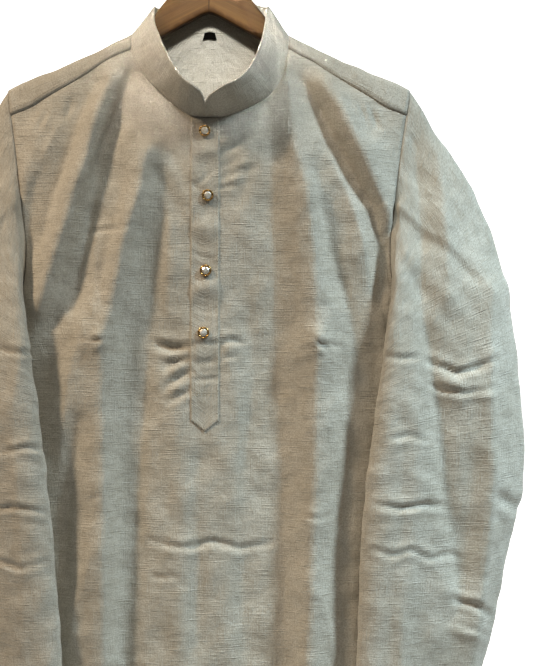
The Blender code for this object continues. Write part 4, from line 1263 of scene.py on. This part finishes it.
# %% Smooth copies of the hanger's solids
ROUNDING = 2
NEARLY_FLAT, NEARLY_SQUARE = math.radians(30), math.radians(70)


def smooth_copy(node, name, finish):
    """A rounded copy of a solid: its points merged, its triangles joined, and then subdivided."""
    build = bmesh.new()
    build.from_mesh(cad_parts[node].data)
    bmesh.ops.remove_doubles(build, verts=build.verts, dist=0.01 * MM)
    bmesh.ops.join_triangles(
        build, faces=build.faces, angle_face_threshold=NEARLY_FLAT, angle_shape_threshold=NEARLY_SQUARE
    )
    mesh = bpy.data.meshes.new(name)
    build.to_mesh(mesh)
    build.free()
    mesh.materials.clear()
    mesh.materials.append(finish)
    mesh.polygons.foreach_set("use_smooth", [True] * len(mesh.polygons))
    obj = placed(name, mesh)
    rounding = obj.modifiers.new("rounding", "SUBSURF")
    rounding.levels = rounding.render_levels = ROUNDING
    print(name, "faces before rounding:", len(mesh.polygons))
    return obj


# %% Varnished wood
WOOD_BROWN, WOOD_DARK, WOOD_BAND = (0.165, 0.088, 0.026, 1), (0.115, 0.058, 0.017, 1), (0.22, 0.124, 0.042, 1)
WOOD_PORE, WOOD_EDGE_SHADE, WOOD_JOINT = (0.12, 0.065, 0.025, 1), (0.07, 0.032, 0.011, 1), (0.05, 0.024, 0.009, 1)
wood = Finish("varnished_wood", Coat_Weight=0.08, Coat_Roughness=0.3, Specular_IOR_Level=0.2)
wood_where = wood.node("ShaderNodeUVMap", {"uv_map": "grain"})
grain = wood.noise(wood.stretched(wood_where, 9, 260, 1), 1.0, 4.0, 0.6)
pores = wood.noise(wood.stretched(wood_where, 120, 1500, 1), 1.0, 2.0, 0.5)
bands = wood.noise(wood.stretched(wood_where, 5, 60, 1), 1.0, 2.0, 0.5)
shade = wood.node("ShaderNodeAttribute", {"attribute_name": "shade"}, out=2)
wood_colour = wood.mix(wood.between(grain, 0.3, 0.72), WOOD_BROWN, WOOD_DARK)
wood_colour = wood.mix(wood.between(bands, 0.4, 0.7) * 0.5, wood_colour, WOOD_BAND)
wood_colour = wood.mix(wood.between(pores, 0.58, 0.72) * 0.6, wood_colour, WOOD_PORE)
# painted shade: the board's lower edge darkened where it turns away from the light
wood_colour = wood.mix(shade * 0.85, wood_colour, WOOD_EDGE_SHADE)
sideways = wood.node("ShaderNodeSeparateXYZ", {}, {"Vector": wood.node("ShaderNodeTexCoord", out=3)})
from_middle = wood.node("ShaderNodeMath", {"operation": "ABSOLUTE"}, {0: sideways})
wood_colour = wood.mix(wood.between(from_middle, 0.0009, 0.0003) * 0.8, wood_colour, WOOD_JOINT)
wood.feed("Base Color", wood_colour)
wood.feed("Roughness", grain * 0.2 + pores * 0.15 + 0.28)
wood.bump(grain * 0.6 - wood.between(pores, 0.58, 0.72), 0.0003, 0.4)
print("nodes of the wood:", len(wood.tree.nodes))

# %% [markdown]
# The board's lower edge is painted darker, as painted shade where its rounded underside turns from the light.
# The finish needs to know how far a point is from that edge and how far along the arm it lies, so the rounded
# mesh gets a shade and a grain map of its own.

# %% The board, its painted shade and its grain
ARM_SLOPE = math.radians(27)
EDGE_BAND = 5.0
EDGE_COLUMN = 4.0
EDGE_FADE = 1.6
OTHER_ARM = 0.31
board = smooth_copy("hanger_board", "hanger_board_wood", wood.material)
rounded = bpy.data.meshes.new_from_object(board.evaluated_get(bpy.context.evaluated_depsgraph_get()))
board.modifiers.clear()
board.data = rounded
lowest = {}
for vertex in board.data.vertices:
    column = round(abs(vertex.co.x) / MM / EDGE_COLUMN)
    lowest[column] = min(lowest.get(column, vertex.co.z), vertex.co.z)
# painted shade, 1 along the board's lower edge and fading out a few millimetres above it
shade_layer = board.data.attributes.new("shade", "FLOAT", "POINT")
for vertex in board.data.vertices:
    above = (vertex.co.z - lowest[round(abs(vertex.co.x) / MM / EDGE_COLUMN)]) / MM
    shade_layer.data[vertex.index].value = max(0.0, min(1.0, EDGE_FADE - above / EDGE_BAND))
grain_layer = board.data.uv_layers.new(name="grain")
for loop in board.data.loops:
    place = board.data.vertices[loop.vertex_index].co
    along = abs(place.x) * math.cos(ARM_SLOPE) - place.z * math.sin(ARM_SLOPE)
    across = abs(place.x) * math.sin(ARM_SLOPE) + place.z * math.cos(ARM_SLOPE) + 0.4 * place.y
    grain_layer.data[loop.index].uv = (along + (OTHER_ARM if place.x > 0 else 0), across)
print("points of the rounded board:", len(board.data.vertices))

# %% Polished wire
wire = Finish("polished_wire", Base_Color=(0.75, 0.75, 0.76, 1), Metallic=1.0, Roughness=0.2)
wire_where = wire.node("ShaderNodeTexCoord", out=3)
wire.feed("Roughness", wire.noise(wire.stretched(wire_where, 300, 300, 2000), 1.0, 2.0) * 0.25 + 0.08)
hook = smooth_copy("hanger_hook", "hanger_hook_wire", wire.material)

# %% [markdown]
# ## Hang everything on the frame
#
# Each piece rides on the one body and hides the solid that it stands for; the table also lists the finish of
# the record that each takes. Hems and stitches stand for no solid of their own. They ride along with the
# cloth they are sewn to.

# %% Ride and replace
dressed = (
    # piece, node, slot
    (front_piece, "front", "cloth"),
    (back_piece, "back", "cloth"),
    (yoke_piece, "yoke", "cloth"),
    (left_sleeve, "sleeve_left", "cloth"),
    (right_sleeve, "sleeve_right", "cloth"),
    (collar_piece, "collar", "cloth"),
    (placket_piece, "placket", "cloth"),
    (label_piece, "neck_label", "label"),
    (board, "hanger_board", "hanger_wood"),
    (hook, "hanger_hook", "hook_wire"),
    *((piece, node, "buttons") for node, piece in buttons.items()),
)
for piece, node, slot in dressed:
    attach(piece, "root")
    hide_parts(node)
seams = (placket_stitches, yoke_stitches, collar_stitches, hem_stitches, *cuff_stitches)
sewn_on = (front_hem, back_hem, *cuff_turns, *seams)
for piece in sewn_on:
    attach(piece, "root")
print("pieces:", len(dressed), "and sewn on:", len(sewn_on))

# %% [markdown]
# ## The cut of each sheet
#
# A cutter lays each piece of cloth flat. Its width and length are given here, in metres, with its true area
# where its sides slope or curve. A sleeve's width is all round the tube.

# %% Flat sizes of the sheets
cuts = (
    # piece, width, length, area, what carries it, pieces on it
    (front_piece, 0.61, 1.03, 0.53, ["yoke"], [front_hem, hem_stitches, placket_stitches, *buttons.values()]),
    (back_piece, 0.58, 0.955, 0.50, ["yoke"], [back_hem]),
    (yoke_piece, 0.47, 0.19, 0.048, ["hanger_board"], [yoke_stitches, label_piece]),
    (left_sleeve, 0.42, 0.70, 0.21, ["yoke", "front", "back"], [cuff_turns[0], cuff_stitches[0]]),
    (right_sleeve, 0.42, 0.70, 0.21, ["yoke", "front", "back"], [cuff_turns[1], cuff_stitches[1]]),
    (collar_piece, 0.50, 0.043, None, ["yoke", "front"], [collar_stitches]),
    (placket_piece, 0.031, 0.338, None, ["front"], []),
)
for piece, width, length, area, carried_by, on_it in cuts:
    print(piece.name, "was cut", width, "by", length, "m")

# %% [markdown]
# ## Light, floor and camera
#
# The photo is lit from both sides: a warm lamp on the left and cool daylight on the right. That is what
# shows the folds, so these two lights stand far out to the sides. Weak ones fill in from above and light
# the inside of the neck.

# %% Studio
ROOM_COLOUR, ROOM_STRENGTH = (0.95, 0.97, 1.0, 1), 0.10
EXPOSURE, GAMMA = 0.25, 0.82
LIGHTS = (
    # name, place, what it looks at, side of its square, power, colour, spread in degrees
    ("warm_lamp", (-1.55, -0.88, 1.25), (-0.1, -0.05, -0.62), 0.3, 2.5, (1.0, 0.82, 0.63), 50),
    ("cool_window", (1.55, -0.85, 1.15), (0.38, -0.05, -0.58), 0.3, 2.6, (0.68, 0.87, 1.0), 36),
    ("top_light", (0.0, -1.1, 1.5), (-0.02, -0.05, -0.52), 0.4, 1.0, (1.0, 0.98, 0.92), 50),
    ("neck_light", (0.0, -0.62, 0.28), (0, 0.02, -0.15), 0.1, 0.1, (0.95, 0.98, 1.0), 18),
)
for name, place, target, side, power, colour, spread in LIGHTS:
    lamp = bpy.data.lights.new(name, "AREA")
    lamp.shape = "RECTANGLE"
    lamp.size = lamp.size_y = side
    lamp.energy = power
    lamp.color = colour
    lamp.spread = math.radians(spread)
    light = placed(name, lamp)
    light.location = place
    light.rotation_mode = "QUATERNION"
    light.rotation_quaternion = (Vector(target) - Vector(place)).to_track_quat("-Z", "Y")

world = bpy.data.worlds.new("studio")
world.use_nodes = True
world.node_tree.nodes["Background"].inputs["Color"].default_value = ROOM_COLOUR
world.node_tree.nodes["Background"].inputs["Strength"].default_value = ROOM_STRENGTH
bpy.context.scene.world = world
bpy.context.scene.view_settings.view_transform = "Standard"
bpy.context.scene.view_settings.exposure = EXPOSURE
bpy.context.scene.view_settings.gamma = GAMMA
print("lights:", len(LIGHTS))

# %% [markdown]
# The camera stands a metre and a half in front of the chest and looks straight ahead, without any shift.
# Its angle of view is narrow, so the collar and the sleeves keep the proportions that they have in the photo.

# %% Camera
CAMERA_PLACE = (0.0637, -1.54, -0.462)
CAMERA_ANGLE = math.radians(27)
SENSOR_WIDTH = 36
lens = bpy.data.cameras.new("photo_camera")
lens.sensor_width = SENSOR_WIDTH
lens.angle = CAMERA_ANGLE
camera = placed("photo_camera", lens)
camera.location = CAMERA_PLACE
camera.rotation_euler = (math.radians(90), 0, 0)
bpy.context.scene.camera = camera
print("camera at", CAMERA_PLACE, "sees", round(math.degrees(CAMERA_ANGLE)), "degrees")

# %% [markdown]
# The floor curves up into a wall, as paper does in a photo studio. The wall glows evenly, and it stands far
# enough behind for a camera to walk round the kurta.

# %% Floor and backdrop
FLOOR_DROP = 0.02
WALL_AT, WALL_TOP, WALL_BEND = 4.2, 4.0, 1
HALF_WIDTH = 6
GLOW_FROM, GLOW_TO = 0.5, 1.4
NO_GLOW, FULL_GLOW = (0, 0, 0, 1), (0.9, 0.9, 0.9, 1)
backdrop_finish = Finish(
    "pale_backdrop", Base_Color=(0.85, 0.85, 0.84, 1), Roughness=0.9, Emission_Strength=1.0
)
backdrop_glow = backdrop_finish.node("ShaderNodeAttribute", {"attribute_name": "glow"}, out=2)
backdrop_finish.feed("Emission Color", backdrop_finish.mix(backdrop_glow, NO_GLOW, FULL_GLOW))


def backdrop():
    """A pale floor that curves up into a wall behind. It glows behind the kurta, as in a photo studio."""
    low = cad_box[0][2] - FLOOR_DROP
    profile = [(y, low) for y in (-4.0, -1.0, 0.0, GLOW_FROM, 0.7, 0.9, 1.1, GLOW_TO, 2.4)]
    for k in range(13):
        turn = math.radians(90 * k / 12)
        profile.append((WALL_AT - WALL_BEND + math.sin(turn), low + WALL_BEND - math.cos(turn)))
    profile.append((WALL_AT, WALL_TOP))
    points = [(x, y, z) for y, z in profile for x in (-HALF_WIDTH, HALF_WIDTH)]
    faces = [(2 * k, 2 * k + 1, 2 * k + 3, 2 * k + 2) for k in range(len(profile) - 1)]
    mesh = bpy.data.meshes.new("backdrop")
    mesh.from_pydata(points, [], faces)
    mesh.polygons.foreach_set("use_smooth", [True] * len(faces))
    glow = mesh.attributes.new("glow", "FLOAT", "POINT")
    behind = np.array([y for _, y, _ in points])
    glow.data.foreach_set("value", ease((behind - GLOW_FROM) / (GLOW_TO - GLOW_FROM)))
    mesh.materials.append(backdrop_finish.material)
    print("the floor lies at", round(low, 3), "m")
    return placed("backdrop", mesh)


backdrop()
